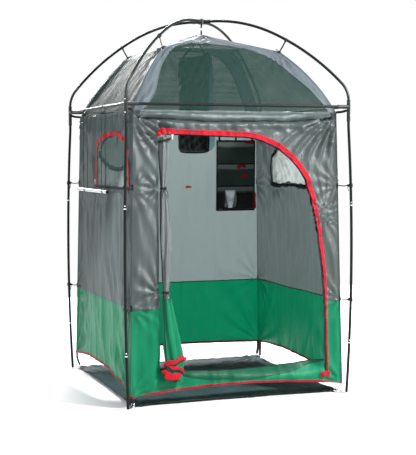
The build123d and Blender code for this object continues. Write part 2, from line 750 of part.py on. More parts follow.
def pole_ties():
    """Two ties from each cabin corner to its leg, and a strap down to its foot hook."""
    with BuildPart() as ties:
        for corner, (sx, sy) in CORNERS.items():
            for z in POLE_TIE_HEIGHTS:
                inner = wall_half(z) * math.sqrt(2) + TIE_R + 1
                outer = bow_point(z)[0] - POLE_R - 0.4
                with BuildSketch(Plane((sx * corner_half(inner), sy * corner_half(inner), z), z_dir=(sx, sy, 0))):
                    Circle(TIE_R)
                extrude(amount=outer - inner)
            hem = HEM_FRONT_CORNER if sy < 0 else HEM_BACK_CORNER
            low = 2 * HOOK_R + 2
            middle = corner_half(888.0)
            with BuildSketch(Plane((sx * middle, sy * middle, low), x_dir=(-sy, sx, 0), z_dir=(0, 0, 1))):
                Rectangle(16, STRAP_PLY)
            extrude(amount=hem - 1 - low)
    return save(ties.part, "pole_ties")


# ---- towel rail, hung outside the left wall from the left top bar ----
def towel_bar():
    with BuildPart() as bar:
        with BuildSketch(Plane((TOWEL_X, TOWEL_FRONT, TOWEL_Z), z_dir=(0, 1, 0))):
            Circle(TOWEL_R)
            Circle(TOWEL_BORE_R, mode=Mode.SUBTRACT)
        extrude(amount=TOWEL_REAR - TOWEL_FRONT)
    return save(bar.part, "towel_bar")


def towel_bar_caps():
    """A domed cap at each end, with a plug inside the tube."""
    with BuildPart() as caps:
        for end, direction in ((TOWEL_FRONT, -1), (TOWEL_REAR, 1)):
            seat = Plane((TOWEL_X, end, TOWEL_Z), z_dir=(0, direction, 0))
            with BuildSketch(seat.offset(0.2)):
                Circle(TOWEL_R + 0.6)
            extrude(amount=7, taper=8)
            with BuildSketch(seat.offset(-12)):
                Circle(TOWEL_BORE_R - 0.2)
            extrude(amount=12.2)
    return save(caps.part, "towel_bar_caps")


def towel_straps():
    """Two-ply webbing hangers: a loop over the top bar and a loop round the rail."""
    top_bore = POLE_R + 0.4
    low_bore = TOWEL_R + 0.2
    with BuildPart() as straps:
        for y in TOWEL_STRAPS:
            face = Plane((TOWEL_X, y - STRAP_WIDTH / 2, 0), x_dir=(-1, 0, 0), z_dir=(0, 1, 0))
            with BuildSketch(face):
                with Locations((0, BAR_Z)):
                    Circle(top_bore + STRAP_PLY)
                with Locations((0, TOWEL_Z)):
                    Circle(low_bore + STRAP_PLY)
                with Locations((0, (BAR_Z + TOWEL_Z) / 2)):
                    Rectangle(2 * STRAP_PLY, BAR_Z - TOWEL_Z)
                with Locations((0, BAR_Z)):
                    Circle(top_bore, mode=Mode.SUBTRACT)
                with Locations((0, TOWEL_Z)):
                    Circle(low_bore, mode=Mode.SUBTRACT)
            extrude(amount=STRAP_WIDTH)
    return save(straps.part, "towel_straps")


# ---- organizer on the back wall, with two shallow pockets over a deep one ----
def organizer():
    """A sewn panel, and on it three pockets, each a front with two sides and a bottom."""
    middle_x = -(ORGANIZER_LEFT + ORGANIZER_RIGHT) / 2
    width = ORGANIZER_RIGHT - ORGANIZER_LEFT
    pocket_width = width - 2 * POCKET_INSET
    face = wall_plane("back", outward=-CLOTH - 1)
    pocket_back = face.offset(-POCKET_SKIN - SEAM_GAP)
    with BuildPart() as holder:
        with BuildSketch(face):
            with Locations((middle_x, (ORGANIZER_BOTTOM + ORGANIZER_TOP) / 2)):
                Rectangle(width, ORGANIZER_TOP - ORGANIZER_BOTTOM)
        extrude(amount=-POCKET_SKIN)
        for low, high, depth in POCKETS:
            middle = (middle_x, (low + high) / 2)
            with BuildSketch(pocket_back):
                with Locations(middle):
                    Rectangle(pocket_width, high - low)
            extrude(amount=-depth)
            with BuildSketch(pocket_back):
                with Locations((middle_x, middle[1] + POCKET_SKIN)):
                    Rectangle(pocket_width - 2 * POCKET_SKIN, high - low)
            extrude(amount=-(depth - POCKET_SKIN), mode=Mode.SUBTRACT)
    return save(holder.part, "organizer")


def soap_bottle():
    """An upside-down bottle: narrow at its cap, wide at its flat end."""
    face = wall_plane("back", outward=-CLOTH - 1 - POCKET_SKIN - SHALLOW_POCKET - BOTTLE_FROM_FACE)
    with BuildPart() as bottle:
        for height, width, depth in ((BOTTLE_LOW, 30, 22), (BOTTLE_LOW + BOTTLE_CAP_LENGTH, 30, 22)):
            spot = face.from_local_coords((-BOTTLE_X, height, 0))
            with BuildSketch(Plane(spot, x_dir=(1, 0, 0), z_dir=(0, 0, 1))):
                Ellipse(width / 2, depth / 2)
        loft()
        for height, width, depth in ((BOTTLE_LOW + BOTTLE_CAP_LENGTH, 42, 24), (BOTTLE_HIGH, 74, 27)):
            spot = face.from_local_coords((-BOTTLE_X, height, 0))
            with BuildSketch(Plane(spot, x_dir=(1, 0, 0), z_dir=(0, 0, 1))):
                Ellipse(width / 2, depth / 2)
        loft()
    return save(bottle.part, "soap_bottle")


def wall_toggle():
    """A toggle on a short stem, on the inside of the back wall."""
    face = wall_plane("back", outward=-CLOTH - SEAM_GAP)
    spot = face.from_local_coords((-TOGGLE_X, TOGGLE_Z, 0))
    with BuildPart() as toggle:
        with BuildSketch(Plane(spot, x_dir=face.x_dir, z_dir=-face.z_dir)):
            RectangleRounded(22, 16, 3)
        extrude(amount=2)
        with BuildSketch(Plane(spot, x_dir=face.x_dir, z_dir=-face.z_dir)):
            Circle(3)
        extrude(amount=14)
        bar_middle = spot - face.z_dir * 17
        with BuildSketch(Plane(bar_middle, z_dir=(1, 0, 0))):
            Circle(5)
        extrude(amount=19, both=True)
    return save(toggle.part, "wall_toggle")


# ---- shower bag, hanging under the roof's peak ----


def shower_bag():
    place = Plane((BAG_X, 0, BAG_BOTTOM)).rotated((0, 0, BAG_TURN))
    with BuildPart() as bag:
        with BuildSketch(place):
            RectangleRounded(BAG_DEPTH, BAG_WIDTH, 38)
        extrude(amount=BAG_TOP - BAG_BOTTOM)
        fillet(bag.edges().group_by(Axis.Z)[0], 24)
        fillet(bag.edges().group_by(Axis.Z)[-1], 24)
    return save(bag.part, "shower_bag")


def bag_hanger():
    """A webbing loop from the bag's two top corners to two cheeks, with the pin between them."""
    place = Plane((BAG_X, 0, 0), x_dir=(0, 1, 0), z_dir=(1, 0, 0)).rotated((0, 0, BAG_TURN))
    spread = BAG_WIDTH / 2 - 60
    cheek_top, fork = BAG_HANG_Z + 5, BAG_HANG_Z - BAG_EYE_R - 2
    outer = [
        (-spread, BAG_TOP + 0.3), (spread, BAG_TOP + 0.3), (BAG_CHEEK_OUT, fork),
        (BAG_CHEEK_OUT, cheek_top), (BAG_CHEEK_IN, cheek_top), (BAG_CHEEK_IN, fork),
        (-BAG_CHEEK_IN, fork), (-BAG_CHEEK_IN, cheek_top), (-BAG_CHEEK_OUT, cheek_top), (-BAG_CHEEK_OUT, fork),
    ]
    inner = [(10 - spread, BAG_TOP + 3), (spread - 10, BAG_TOP + 3), (0, fork - 8)]
    with BuildPart() as hanger:
        with BuildSketch(place):
            Polygon(*outer, align=None)
            Polygon(*inner, align=None, mode=Mode.SUBTRACT)
        extrude(amount=6, both=True)
        with BuildSketch(bag_pin_plane()):
            Circle(BAG_PIN_R)
        extrude(amount=BAG_CHEEK_IN, both=True)
    return save(hanger.part, "bag_hanger")


# ---- floor sheet ----
def floor_sheet():
    with BuildPart() as sheet:
        with BuildSketch(Plane.XY):
            RectangleRounded(2 * FLOOR_HALF, 2 * FLOOR_HALF, 20)
        extrude(amount=CLOTH)
    return save(sheet.part, "floor_sheet")


for name_of_corner in CORNERS:
    for section_name, low_z, high_z in zip(("lower", "middle"), LEG_SPLITS, LEG_SPLITS[1:]):
        leg_section(name_of_corner, low_z, high_z, f"leg_{section_name}_{name_of_corner}")
    leg_upper(name_of_corner)
    corner_fitting(name_of_corner)
    for pole in BUTTON_HEIGHTS:
        snap_button(name_of_corner, pole)
    arch(name_of_corner)
for name_of_side in SIDES:
    top_bar(name_of_side)
    if name_of_side != "front":
        plain_wall(name_of_side)
for name_of_side in WINDOW_BACK:
    window_slider(name_of_side)
for make_piece in (
    arch_elbows, crown_hub, crown_ring, foot_hooks, wall_front, window_panels, door_flap, door_roll,
    door_ties, door_slider, roof_mesh, roof_hips, roof_ties, pole_ties, towel_bar, towel_bar_caps,
    towel_straps, organizer, soap_bottle, wall_toggle, shower_bag, bag_hanger, floor_sheet,
):
    make_piece()
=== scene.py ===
import math

import bmesh
import bpy
import numpy as np
from mathutils import Euler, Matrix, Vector, noise


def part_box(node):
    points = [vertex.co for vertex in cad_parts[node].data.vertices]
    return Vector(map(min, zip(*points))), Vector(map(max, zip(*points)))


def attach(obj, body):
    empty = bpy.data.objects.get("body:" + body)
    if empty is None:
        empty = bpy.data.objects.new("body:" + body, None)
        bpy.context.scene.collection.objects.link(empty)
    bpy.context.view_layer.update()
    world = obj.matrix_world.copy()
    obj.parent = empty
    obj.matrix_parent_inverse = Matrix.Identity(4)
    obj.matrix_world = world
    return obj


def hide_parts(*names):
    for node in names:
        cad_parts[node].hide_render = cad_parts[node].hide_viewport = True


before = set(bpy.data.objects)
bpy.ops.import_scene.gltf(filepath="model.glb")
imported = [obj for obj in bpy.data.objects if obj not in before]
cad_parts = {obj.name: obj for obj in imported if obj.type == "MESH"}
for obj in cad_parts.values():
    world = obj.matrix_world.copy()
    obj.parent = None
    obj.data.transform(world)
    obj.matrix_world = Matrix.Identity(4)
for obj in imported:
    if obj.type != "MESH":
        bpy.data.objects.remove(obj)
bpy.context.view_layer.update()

FRAME_BODY = "frame"

# ---------------------------------------------------------------------------
# sizes shared by many pieces, in metres
# ---------------------------------------------------------------------------
WALL_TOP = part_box("wall_back")[1][2]
HALF_AT_HEM, HEM_LOW_Z = 0.640, 0.060      # half-width of the cabin at its lowest hem
WALL_SLOPE = (HALF_AT_HEM - 0.608) / (1.630 - HEM_LOW_Z)
SEAM_Z = 0.540                  # where grey cloth meets green
HEM = {"front": (0.060, 0.098, 0.060), "right": (0.060, 0.128, 0.110),
       "back": (0.110, 0.122, 0.110), "left": (0.110, 0.150, 0.060)}
TURN = {"front": 0.0, "right": 90.0, "back": 180.0, "left": 270.0}
TIE_Z = (0.550, 1.210)          # heights of the pole ties
ROLL_TIES = (1.203, 0.632)      # heights of the rolled door's ties
LEG_SPLITS = (("lower", 0.297), ("upper", 1.096))   # where the legs' sections meet
BAG_PIN = (-0.030, 0.0, 2.090)  # the pin that the shower bag swings on
CLOTH_IN, CLOTH_OUT = -0.035, 0.026   # how far a side wall's cloth may stray from its plane
DOOR_LEFT, DOOR_TOP, DOOR_TOP_RIGHT = -0.470, 1.507, 1.491
SLIDER_EDGE, SLIDER_MIDDLE_Z = {"left": -0.185, "right": 0.300}, 1.275
RAIL_Z = 1.175
SILL_MIDDLE_Z, SILL_END_Z = 0.172, 0.202
WINDOW_LOW, WINDOW_TOP = 1.200, 1.508
WINDOW_SHOULDER = (0.300, 0.205)   # width and height of a window's oval shoulders
WINDOW_ENDS = {"left": (-0.185, 0.565), "right": (-0.450, 0.300)}
LEG_TOP_REACH = 0.9362          # from the tent's axis to the middle of a leg's top
CELL = 0.010                    # grid of the cloth panels


def wall_half(z):
    """Half-width of the cabin at a height."""
    return HALF_AT_HEM - (z - HEM_LOW_Z) * WALL_SLOPE


# ---------------------------------------------------------------------------
# materials
# ---------------------------------------------------------------------------
def shader(name, color, roughness=0.5, metallic=0.0, **sockets):
    """A new material with a Principled shader, its output and its node tree."""
    material = bpy.data.materials.new(name)
    material.use_nodes = True
    tree = material.node_tree
    surface = tree.nodes["Principled BSDF"]
    surface.inputs["Base Color"].default_value = (*color, 1)
    surface.inputs["Roughness"].default_value = roughness
    surface.inputs["Metallic"].default_value = metallic
    for key, value in sockets.items():
        surface.inputs[key.replace("_", " ")].default_value = value
    material.diffuse_color = (*color, 1)
    return material, tree, surface


def node(tree, kind, **inputs):
    """A node of a kind, with some of its input sockets set by name."""
    made = tree.nodes.new(kind)
    for key, value in inputs.items():
        made.inputs[key.replace("_", " ")].default_value = value
    return made


def math_node(tree, operation, first, second=0.0):
    made = tree.nodes.new("ShaderNodeMath")
    made.operation = operation
    for index, value in enumerate((first, second)):
        if isinstance(value, (int, float)):
            made.inputs[index].default_value = value
        else:
            tree.links.new(value, made.inputs[index])
    return made.outputs[0]


def object_coordinates(tree):
    return tree.nodes.new("ShaderNodeTexCoord").outputs["Object"]


def stretched(tree, scale):
    """Object coordinates scaled by axis, for marks that are longer one way."""
    made = tree.nodes.new("ShaderNodeMapping")
    made.inputs["Scale"].default_value = scale
    tree.links.new(object_coordinates(tree), made.inputs["Vector"])
    return made.outputs["Vector"]


def noise_node(tree, scale, detail=3.0, rough=0.5, vector=None):
    made = node(tree, "ShaderNodeTexNoise", Scale=scale, Detail=detail, Roughness=rough)
    tree.links.new(vector or object_coordinates(tree), made.inputs["Vector"])
    return made.outputs["Fac"]


def ramp(tree, fac, stops):
    """A colour ramp of (position, colour) stops."""
    made = tree.nodes.new("ShaderNodeValToRGB")
    elements = made.color_ramp.elements
    while len(elements) < len(stops):
        elements.new(0.5)
    for element, (place, color) in zip(elements, stops):
        element.position = place
        element.color = (*color, 1)
    tree.links.new(fac, made.inputs["Fac"])
    return made.outputs["Color"]


def tinted(color, factor):
    return tuple(min(1.0, c * factor) for c in color)


def vary_color(tree, surface, fac, color, dark, light):
    """Vary the base colour between a darker and a lighter tone of it."""
    tone = ramp(tree, fac, [(0.3, tinted(color, dark)), (0.7, tinted(color, light))])
    tree.links.new(tone, surface.inputs["Base Color"])


def bump(tree, surface, height, strength, distance):
    made = node(tree, "ShaderNodeBump", Strength=strength, Distance=distance)
    tree.links.new(height, made.inputs["Height"])
    tree.links.new(made.outputs["Normal"], surface.inputs["Normal"])


def weave_height(tree, pitch):
    """Over-and-under weave at a pitch in metres, the same from any side of a wall."""
    separate = tree.nodes.new("ShaderNodeSeparateXYZ")
    tree.links.new(object_coordinates(tree), separate.inputs[0])
    phases = [math_node(tree, "MULTIPLY", output, 2 * math.pi / pitch) for output in separate.outputs]
    waves = [math_node(tree, "SINE", phase) for phase in phases]
    across = math_node(tree, "ADD", waves[0], waves[1])
    return math_node(tree, "MULTIPLY", across, waves[2])


def coated_cloth(name, color, roughness=0.42, through=0.0, crinkle=0.35, mottle=0.10, gloss=0.55):
    """Coated taffeta: fine weave, faint blotches and small creases; through lets light pass."""
    material, tree, surface = shader(name, color, roughness, Sheen_Weight=0.04, Specular_IOR_Level=gloss,
                                     Coat_Weight=0.2 * gloss, Coat_Roughness=0.22)
    vary_color(tree, surface, noise_node(tree, 5.0, 4.0, 0.55), color, 1 - mottle, 1 + mottle)
    crease = noise_node(tree, 26.0, 5.0, 0.62)
    streak = noise_node(tree, 1.0, 3.0, 0.5, stretched(tree, (30.0, 30.0, 4.5)))
    folds = math_node(tree, "ADD", crease, math_node(tree, "MULTIPLY", streak, 1.6))
    height = math_node(tree, "ADD", math_node(tree, "MULTIPLY", weave_height(tree, 0.0022), 0.05), folds)
    bump(tree, surface, height, crinkle, 0.008)
    if through:
        let_light_through(tree, surface, color, through)
    return material


def let_light_through(tree, surface, color, share):
    """Mix a translucent shader in, so light falls through thin cloth."""
    output = tree.nodes["Material Output"]
    glow = tree.nodes.new("ShaderNodeBsdfTranslucent")
    glow.inputs["Color"].default_value = (*tinted(color, 1.5), 1)
    mix = node(tree, "ShaderNodeMixShader", Fac=share)
    tree.links.new(surface.outputs[0], mix.inputs[1])
    tree.links.new(glow.outputs[0], mix.inputs[2])
    tree.links.new(mix.outputs[0], output.inputs["Surface"])


def net_cloth(name, color, cover, pitch=0.0024, roughness=0.6):
    """Netting: a fine grid of threads over clear gaps, cover is the share that threads hide."""
    material, tree, surface = shader(name, color, roughness, Specular_IOR_Level=0.08)
    separate = tree.nodes.new("ShaderNodeSeparateXYZ")
    tree.links.new(object_coordinates(tree), separate.inputs[0])
    along = math_node(tree, "ADD", separate.outputs[0], separate.outputs[1])
    phases = [math_node(tree, "MULTIPLY", axis, math.pi / pitch) for axis in (along, separate.outputs[2])]
    threads = [math_node(tree, "ABSOLUTE", math_node(tree, "SINE", phase)) for phase in phases]
    gap = math_node(tree, "MULTIPLY", threads[0], threads[1])
    folds = noise_node(tree, 7.0, 4.0, 0.5)
    density = math_node(tree, "ADD", cover - 0.11, math_node(tree, "MULTIPLY", folds, 0.22))
    solid = math_node(tree, "SUBTRACT", 1.0, math_node(tree, "MULTIPLY", gap, 0.5))
    alpha = math_node(tree, "MULTIPLY", math_node(tree, "MULTIPLY", solid, 1.25), density)
    tree.links.new(alpha, surface.inputs["Alpha"])
    bump(tree, surface, folds, 0.3, 0.004)
    return material


def clear_sheet(name, color):
    """Tinted clear vinyl, filled with water: glossy, faintly cloudy, lit from within."""
    material, tree, surface = shader(name, color, 0.16, Coat_Weight=0.5, Coat_Roughness=0.08)
    vary_color(tree, surface, noise_node(tree, 9.0, 4.0), color, 0.8, 1.3)
    bump(tree, surface, noise_node(tree, 30.0, 4.0), 0.2, 0.003)
    let_light_through(tree, surface, color, 0.45)
    return material


def sleeve_film(name, color):
    """Thin clear film, mostly see-through, with a soft gloss and faint ripples."""
    material, tree, surface = shader(name, color, 0.12)
    bump(tree, surface, noise_node(tree, 60.0, 3.0), 0.25, 0.002)
    haze = noise_node(tree, 25.0, 3.0)
    tree.links.new(math_node(tree, "MULTIPLY", haze, 0.36), surface.inputs["Alpha"])
    return material


def webbing(name, color):
    """Narrow woven strap: a coarse rib across it and a dull sheen."""
    material, tree, surface = shader(name, color, 0.8, Sheen_Weight=0.05, Specular_IOR_Level=0.25)
    bump(tree, surface, weave_height(tree, 0.0032), 0.6, 0.0008)
    vary_color(tree, surface, noise_node(tree, 160.0, 3.0), color, 0.75, 1.5)
    return material


def painted_pole(name, color, worn):
    """Powder-coated tube: faint orange peel, scuffs that show a lighter undercoat."""
    material, tree, surface = shader(name, color, 0.38, Specular_IOR_Level=0.14)
    scuff = noise_node(tree, 24.0, 6.0, 0.7)
    tone = ramp(tree, scuff, [(0.60, color), (0.76, worn)])
    tree.links.new(tone, surface.inputs["Base Color"])
    rough = ramp(tree, scuff, [(0.35, (0.28,) * 3), (0.75, (0.52,) * 3)])
    tree.links.new(rough, surface.inputs["Roughness"])
    bump(tree, surface, noise_node(tree, 420.0, 2.0), 0.12, 0.0006)
    return material


def moulded_plastic(name, color, roughness=0.45):
    material, tree, surface = shader(name, color, roughness, Specular_IOR_Level=0.35)
    bump(tree, surface, noise_node(tree, 520.0, 3.0, 0.6), 0.25, 0.0005)
    vary_color(tree, surface, noise_node(tree, 14.0, 4.0), color, 0.85, 1.25)
    return material


def bare_metal(name, color, roughness=0.25):
    material, tree, surface = shader(name, color, roughness, 1.0)
    drawn = noise_node(tree, 90.0, 5.0, 0.65)
    rough = ramp(tree, drawn, [(0.3, (roughness * 0.7,) * 3), (0.7, (roughness * 1.7,) * 3)])
    tree.links.new(rough, surface.inputs["Roughness"])
    bump(tree, surface, drawn, 0.08, 0.0005)
    return material


GREY, GREEN = (0.064, 0.082, 0.080), (0.001, 0.145, 0.066)
RED, HEM_RED = (0.30, 0.001, 0.010), (0.20, 0.002, 0.014)
MAT = {
    "grey": coated_cloth("grey_cloth", GREY, 0.40, through=0.34, gloss=0.14),
    "front_grey": coated_cloth("front_grey_cloth", tinted(GREY, 0.95), 0.30, through=0.34, gloss=0.45),
    # The back wall's grey, 1.25 times lighter: painted light for daylight shining through the back wall.
    "back_grey_painted_light": coated_cloth("back_grey_cloth", tinted(GREY, 1.25), 0.40, through=0.46, gloss=0.14),
    # The front header above the drooping seam: the grey made 2.1 times lighter, painted light for daylight shining
    # through it.
    "header": coated_cloth("header_cloth_painted_light", tinted(GREY, 2.1), 0.36, through=0.36, gloss=0.4),
    "door_grey": coated_cloth("door_cloth", (0.062, 0.076, 0.077), 0.26, through=0.05, crinkle=0.7, gloss=0.7),
    "green": coated_cloth("green_cloth", GREEN, 0.36, through=0.20, gloss=0.14),
    # The green at 0.42 of its brightness: painted shade on the door sill's fold.
    "green_painted_shade": coated_cloth("green_fold_cloth", tinted(GREEN, 0.42), 0.4, through=0.10, gloss=0.14),
    "roof_grey": coated_cloth("roof_cloth", (0.075, 0.092, 0.104), 0.5, through=0.10, gloss=0.10),
    "red": coated_cloth("red_tape", RED, 0.5, crinkle=0.6, mottle=0.25, gloss=0.12),
    "hem": coated_cloth("hem_tape", HEM_RED, 0.55, crinkle=0.4, mottle=0.2, gloss=0.12),
    "floor": coated_cloth("floor_cloth", (0.020, 0.046, 0.048), 0.7, crinkle=0.5, mottle=0.25, gloss=0.04),
    "dark_cloth": coated_cloth("organizer_cloth", (0.004, 0.005, 0.005), 0.7, crinkle=0.3, gloss=0.2),
    "roof_net": net_cloth("roof_net", (0.006, 0.022, 0.017), 0.80),
    "window_net": net_cloth("window_net", (0.025, 0.05, 0.042), 0.74, 0.0020),
    "pocket_net": net_cloth("pocket_net", (0.004, 0.014, 0.010), 0.66, 0.0030),
    "panel": coated_cloth("organizer_panel", (0.125, 0.150, 0.140), 0.5, through=0.30, gloss=0.3),
    "sleeve": sleeve_film("clear_sleeve", (0.35, 0.38, 0.42)),
    # Window flaps: far lighter than the wall's grey cloth, painted light for daylight shining through them.
    "flap": coated_cloth("window_flap_painted_light_cloth", (0.60, 0.69, 0.64), 0.42, through=0.68, gloss=0.3),
    "strap": webbing("black_webbing", (0.005, 0.005, 0.006)),
    "piping": webbing("grey_piping", (0.030, 0.037, 0.038)),
    "pole": painted_pole("painted_pole", (0.004, 0.007, 0.006), (0.030, 0.042, 0.038)),
    "fitting": moulded_plastic("fitting_plastic", (0.004, 0.008, 0.006)),
    "steel": bare_metal("plated_steel", (0.86, 0.87, 0.87), 0.2),
    "rail": bare_metal("rail_aluminium", (0.60, 0.64, 0.67), 0.32),
    "black_plastic": moulded_plastic("black_plastic", (0.012, 0.012, 0.012), 0.5),
    "white_plastic": moulded_plastic("bottle_plastic", (0.72, 0.74, 0.80), 0.3),
    "elastic": webbing("grey_elastic", (0.035, 0.040, 0.038)),
    "vinyl": coated_cloth("bag_vinyl", (0.002, 0.003, 0.003), 0.3, crinkle=0.15, gloss=0.15),
    "clear_vinyl": clear_sheet("clear_vinyl", (0.14, 0.29, 0.34)),
    "thread": webbing("red_thread", (0.45, 0.02, 0.05)),
    "red_plastic": moulded_plastic("toggle_plastic", (0.55, 0.01, 0.02), 0.35),
}


# ---------------------------------------------------------------------------
# mesh helpers
# ---------------------------------------------------------------------------
def mesh_object(name, points, faces, materials, body=FRAME_BODY, smooth=True, slots=None):
    """A mesh piece that rides on a body; slots gives each face's material."""
    data = bpy.data.meshes.new(name)
    data.from_pydata([tuple(p) for p in points], [], [tuple(int(i) for i in f) for f in faces])
    for material in materials if isinstance(materials, (list, tuple)) else [materials]:
        data.materials.append(material)
    if slots is not None:
        data.polygons.foreach_set("material_index", np.asarray(slots, dtype=np.int32))
    data.polygons.foreach_set("use_smooth", np.full(len(data.polygons), smooth))
    data.update()
    piece = bpy.data.objects.new(name, data)
    bpy.context.collection.objects.link(piece)
    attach(piece, body)
    return piece


def row_faces(rows, columns, closed=False):
    """Quads of a rows-by-columns grid of points, closed round the columns if asked."""
    faces = []
    last = columns if closed else columns - 1
    for r in range(rows - 1):
        for c in range(last):
            following = (c + 1) % columns
            faces.append((r * columns + c, r * columns + following,
                          (r + 1) * columns + following, (r + 1) * columns + c))
    return faces


def smooth_path(points, count):
    """Points spaced evenly along a Catmull-Rom curve through a few given ones."""
    pts = np.array([points[0], *points, points[-1]], float)
    fine = []
    for a, b, c, d in zip(pts, pts[1:], pts[2:], pts[3:]):
        for t in np.linspace(0, 1, 24, endpoint=False):
            fine.append(0.5 * ((2 * b) + (c - a) * t + (2 * a - 5 * b + 4 * c - d) * t**2
                               + (3 * b - a - 3 * c + d) * t**3))
    fine = np.array([*fine, pts[-1]])
    steps = np.linalg.norm(np.diff(fine, axis=0), axis=1)
    run = np.concatenate([[0], np.cumsum(steps)])
    return np.stack([np.interp(np.linspace(0, run[-1], count), run, fine[:, k]) for k in range(fine.shape[1])], 1)


def unit(v):
    v = np.asarray(v, float)
    return v / np.maximum(np.linalg.norm(v, axis=-1, keepdims=True), 1e-12)


def sweep(name, path, width, thickness, facing, material, body=FRAME_BODY, closed=False, corner=0.35, slot=None):
    """A flat band or round cord along a path: a rounded section, wide across facing."""
    path = np.asarray(path, float)
    count = len(path)
    facing = np.broadcast_to(np.asarray(facing, float), path.shape)
    if closed:
        ahead = np.roll(path, -1, 0) - np.roll(path, 1, 0)
    else:
        ahead = np.gradient(path, axis=0)
    ahead = unit(ahead)
    across = unit(np.cross(facing, ahead))
    normal = np.cross(ahead, across)
    widths = np.broadcast_to(np.asarray(width, float), (count,))
    sides = 12
    angles = np.linspace(0, 2 * math.pi, sides, endpoint=False) + math.pi / sides
    shape_x = np.sign(np.cos(angles)) * np.abs(np.cos(angles)) ** corner
    shape_y = np.sign(np.sin(angles)) * np.abs(np.sin(angles)) ** corner
    points = (path[:, None, :] + across[:, None, :] * (shape_x[None, :, None] * widths[:, None, None] / 2)
              + normal[:, None, :] * (shape_y[None, :, None] * thickness / 2))
    faces = row_faces(count, sides, closed=True)
    if closed:
        faces += [((count - 1) * sides + c, (count - 1) * sides + (c + 1) % sides, (c + 1) % sides, c)
                  for c in range(sides)]
    else:
        faces += [tuple(range(sides - 1, -1, -1)), tuple((count - 1) * sides + c for c in range(sides))]
    return mesh_object(name, points.reshape(-1, 3), faces, material, body)


def round_cord(name, path, radius, material, body=FRAME_BODY, closed=False, slot=None):
    """A round tube along a path, with a steady frame that doesn't twist."""
    path = np.asarray(path, float)
    ahead = unit(np.gradient(path, axis=0)).mean(axis=0)
    facing = np.array([0.31, 0.17, 0.93]) if abs(ahead[2]) < 0.9 else np.array([0.93, 0.31, 0.17])
    return sweep(name, path, 2 * radius, 2 * radius, facing, material, body, closed, corner=1.0, slot=slot)


def black_strap(name, path, width, thickness, facing, body=FRAME_BODY, slot="webbing", **options):
    """A band of black webbing along a path."""
    return sweep(name, path, width, thickness, facing, MAT["strap"], body, slot=slot, **options)


def black_cord(name, path, radius, **options):
    """A round black cord along a path."""
    return round_cord(name, path, radius, MAT["strap"], slot="webbing", **options)


def flat_grid(across, up):
    """The two coordinates of a grid's points, row by row."""
    u, v = np.meshgrid(across, up)
    return u.ravel(), v.ravel()


def rim_indices(rows, columns):
    """Indices of a grid's edge points, once round it."""
    rim = [*range(columns), *(r * columns + columns - 1 for r in range(1, rows))]
    rim += [(rows - 1) * columns + c for c in range(columns - 2, -1, -1)]
    return rim + [r * columns for r in range(rows - 2, 0, -1)]


def spokes_of(angles, first, second):
    """Points of a unit circle between two directions."""
    return np.cos(angles)[:, None] * np.asarray(first) + np.sin(angles)[:, None] * np.asarray(second)


# ---------------------------------------------------------------------------
# cloth helpers
# ---------------------------------------------------------------------------
def smoothstep(x):
    x = np.clip(x, 0.0, 1.0)
    return x * x * (3 - 2 * x)


def ripple(u, w, scale_u, scale_w, seed, octaves=3):
    """Smooth noise over flat cloth coordinates, about -1 to 1."""
    total = np.zeros_like(u)
    share = 1.0
    for octave in range(octaves):
        a, b = scale_u * 2**octave, scale_w * 2**octave
        total += share * np.array([
            noise.noise(Vector((x * a, y * b, seed + 7.3 * octave))) for x, y in zip(u, w)
        ])
        share *= 0.5
    return total


def creased(values):
    """Turn smooth noise into soft ridges with sharper valleys, as thin cloth folds."""
    return 1.0 - 2.0 * np.abs(np.clip(values, -1, 1)) ** 0.75


def rays(u, w, at_u, at_w, reach, count, phase, start=0.02):
    """Folds that spread from a pulled point and die away over a reach."""
    du, dw = u - at_u, w - at_w
    far = np.hypot(du, dw)
    angle = np.arctan2(dw, du)
    wave = np.cos(count * angle + phase + 1.3 * np.sin(2.1 * angle + phase))
    return wave * np.exp(-far / reach) * smoothstep(far / start)


def pulls(u, w, at_u, at_w, reach, count, phase, start=0.03):
    """Sharp, narrow creases that spread from a pulled point, dying away over a reach."""
    du, dw = u - at_u, w - at_w
    far = np.hypot(du, dw)
    angle = np.arctan2(dw, du)
    wave = np.cos(count * angle + phase + 0.9 * np.sin(3.1 * angle + phase) + 1.1 * np.sin(7.0 * far + phase))
    return creased(0.9 * wave) * np.exp(-((far / reach) ** 2)) * smoothstep(far / start)


def inside(points, outline):
    """Which 2-D points lie inside a closed outline."""
    x, y = points[:, 0], points[:, 1]
    hit = np.zeros(len(points), bool)
    for (x0, y0), (x1, y1) in zip(outline, np.roll(outline, -1, 0)):
        crosses = (y0 > y) != (y1 > y)
        slope = (x1 - x0) / (y1 - y0) if y1 != y0 else 0.0
        hit ^= crosses & (x < x0 + (y - y0) * slope)
    return hit


def snap(points, outline, reach):
    """Move the 2-D points that are within reach of an outline onto it."""
    starts, ends = outline, np.roll(outline, -1, 0)
    best = np.full(len(points), np.inf)
    nearest = points.copy()
    for a, b in zip(starts, ends):
        run = b - a
        length = run @ run
        if length < 1e-14:
            continue
        t = np.clip(((points - a) @ run) / length, 0, 1)
        foot = a + t[:, None] * run
        gap = np.linalg.norm(points - foot, axis=1)
        closer = gap < best
        best[closer] = gap[closer]
        nearest[closer] = foot[closer]
    moved = points.copy()
    near = best < reach
    moved[near] = nearest[near]
    return moved


def keep_faces(points, faces, wanted):
    """The wanted faces and only the points that they use."""
    faces = [f for f, w in zip(faces, wanted) if w]
    used = sorted({i for f in faces for i in f})
    index = {old: new for new, old in enumerate(used)}
    return points[used], [tuple(index[i] for i in f) for f in faces]


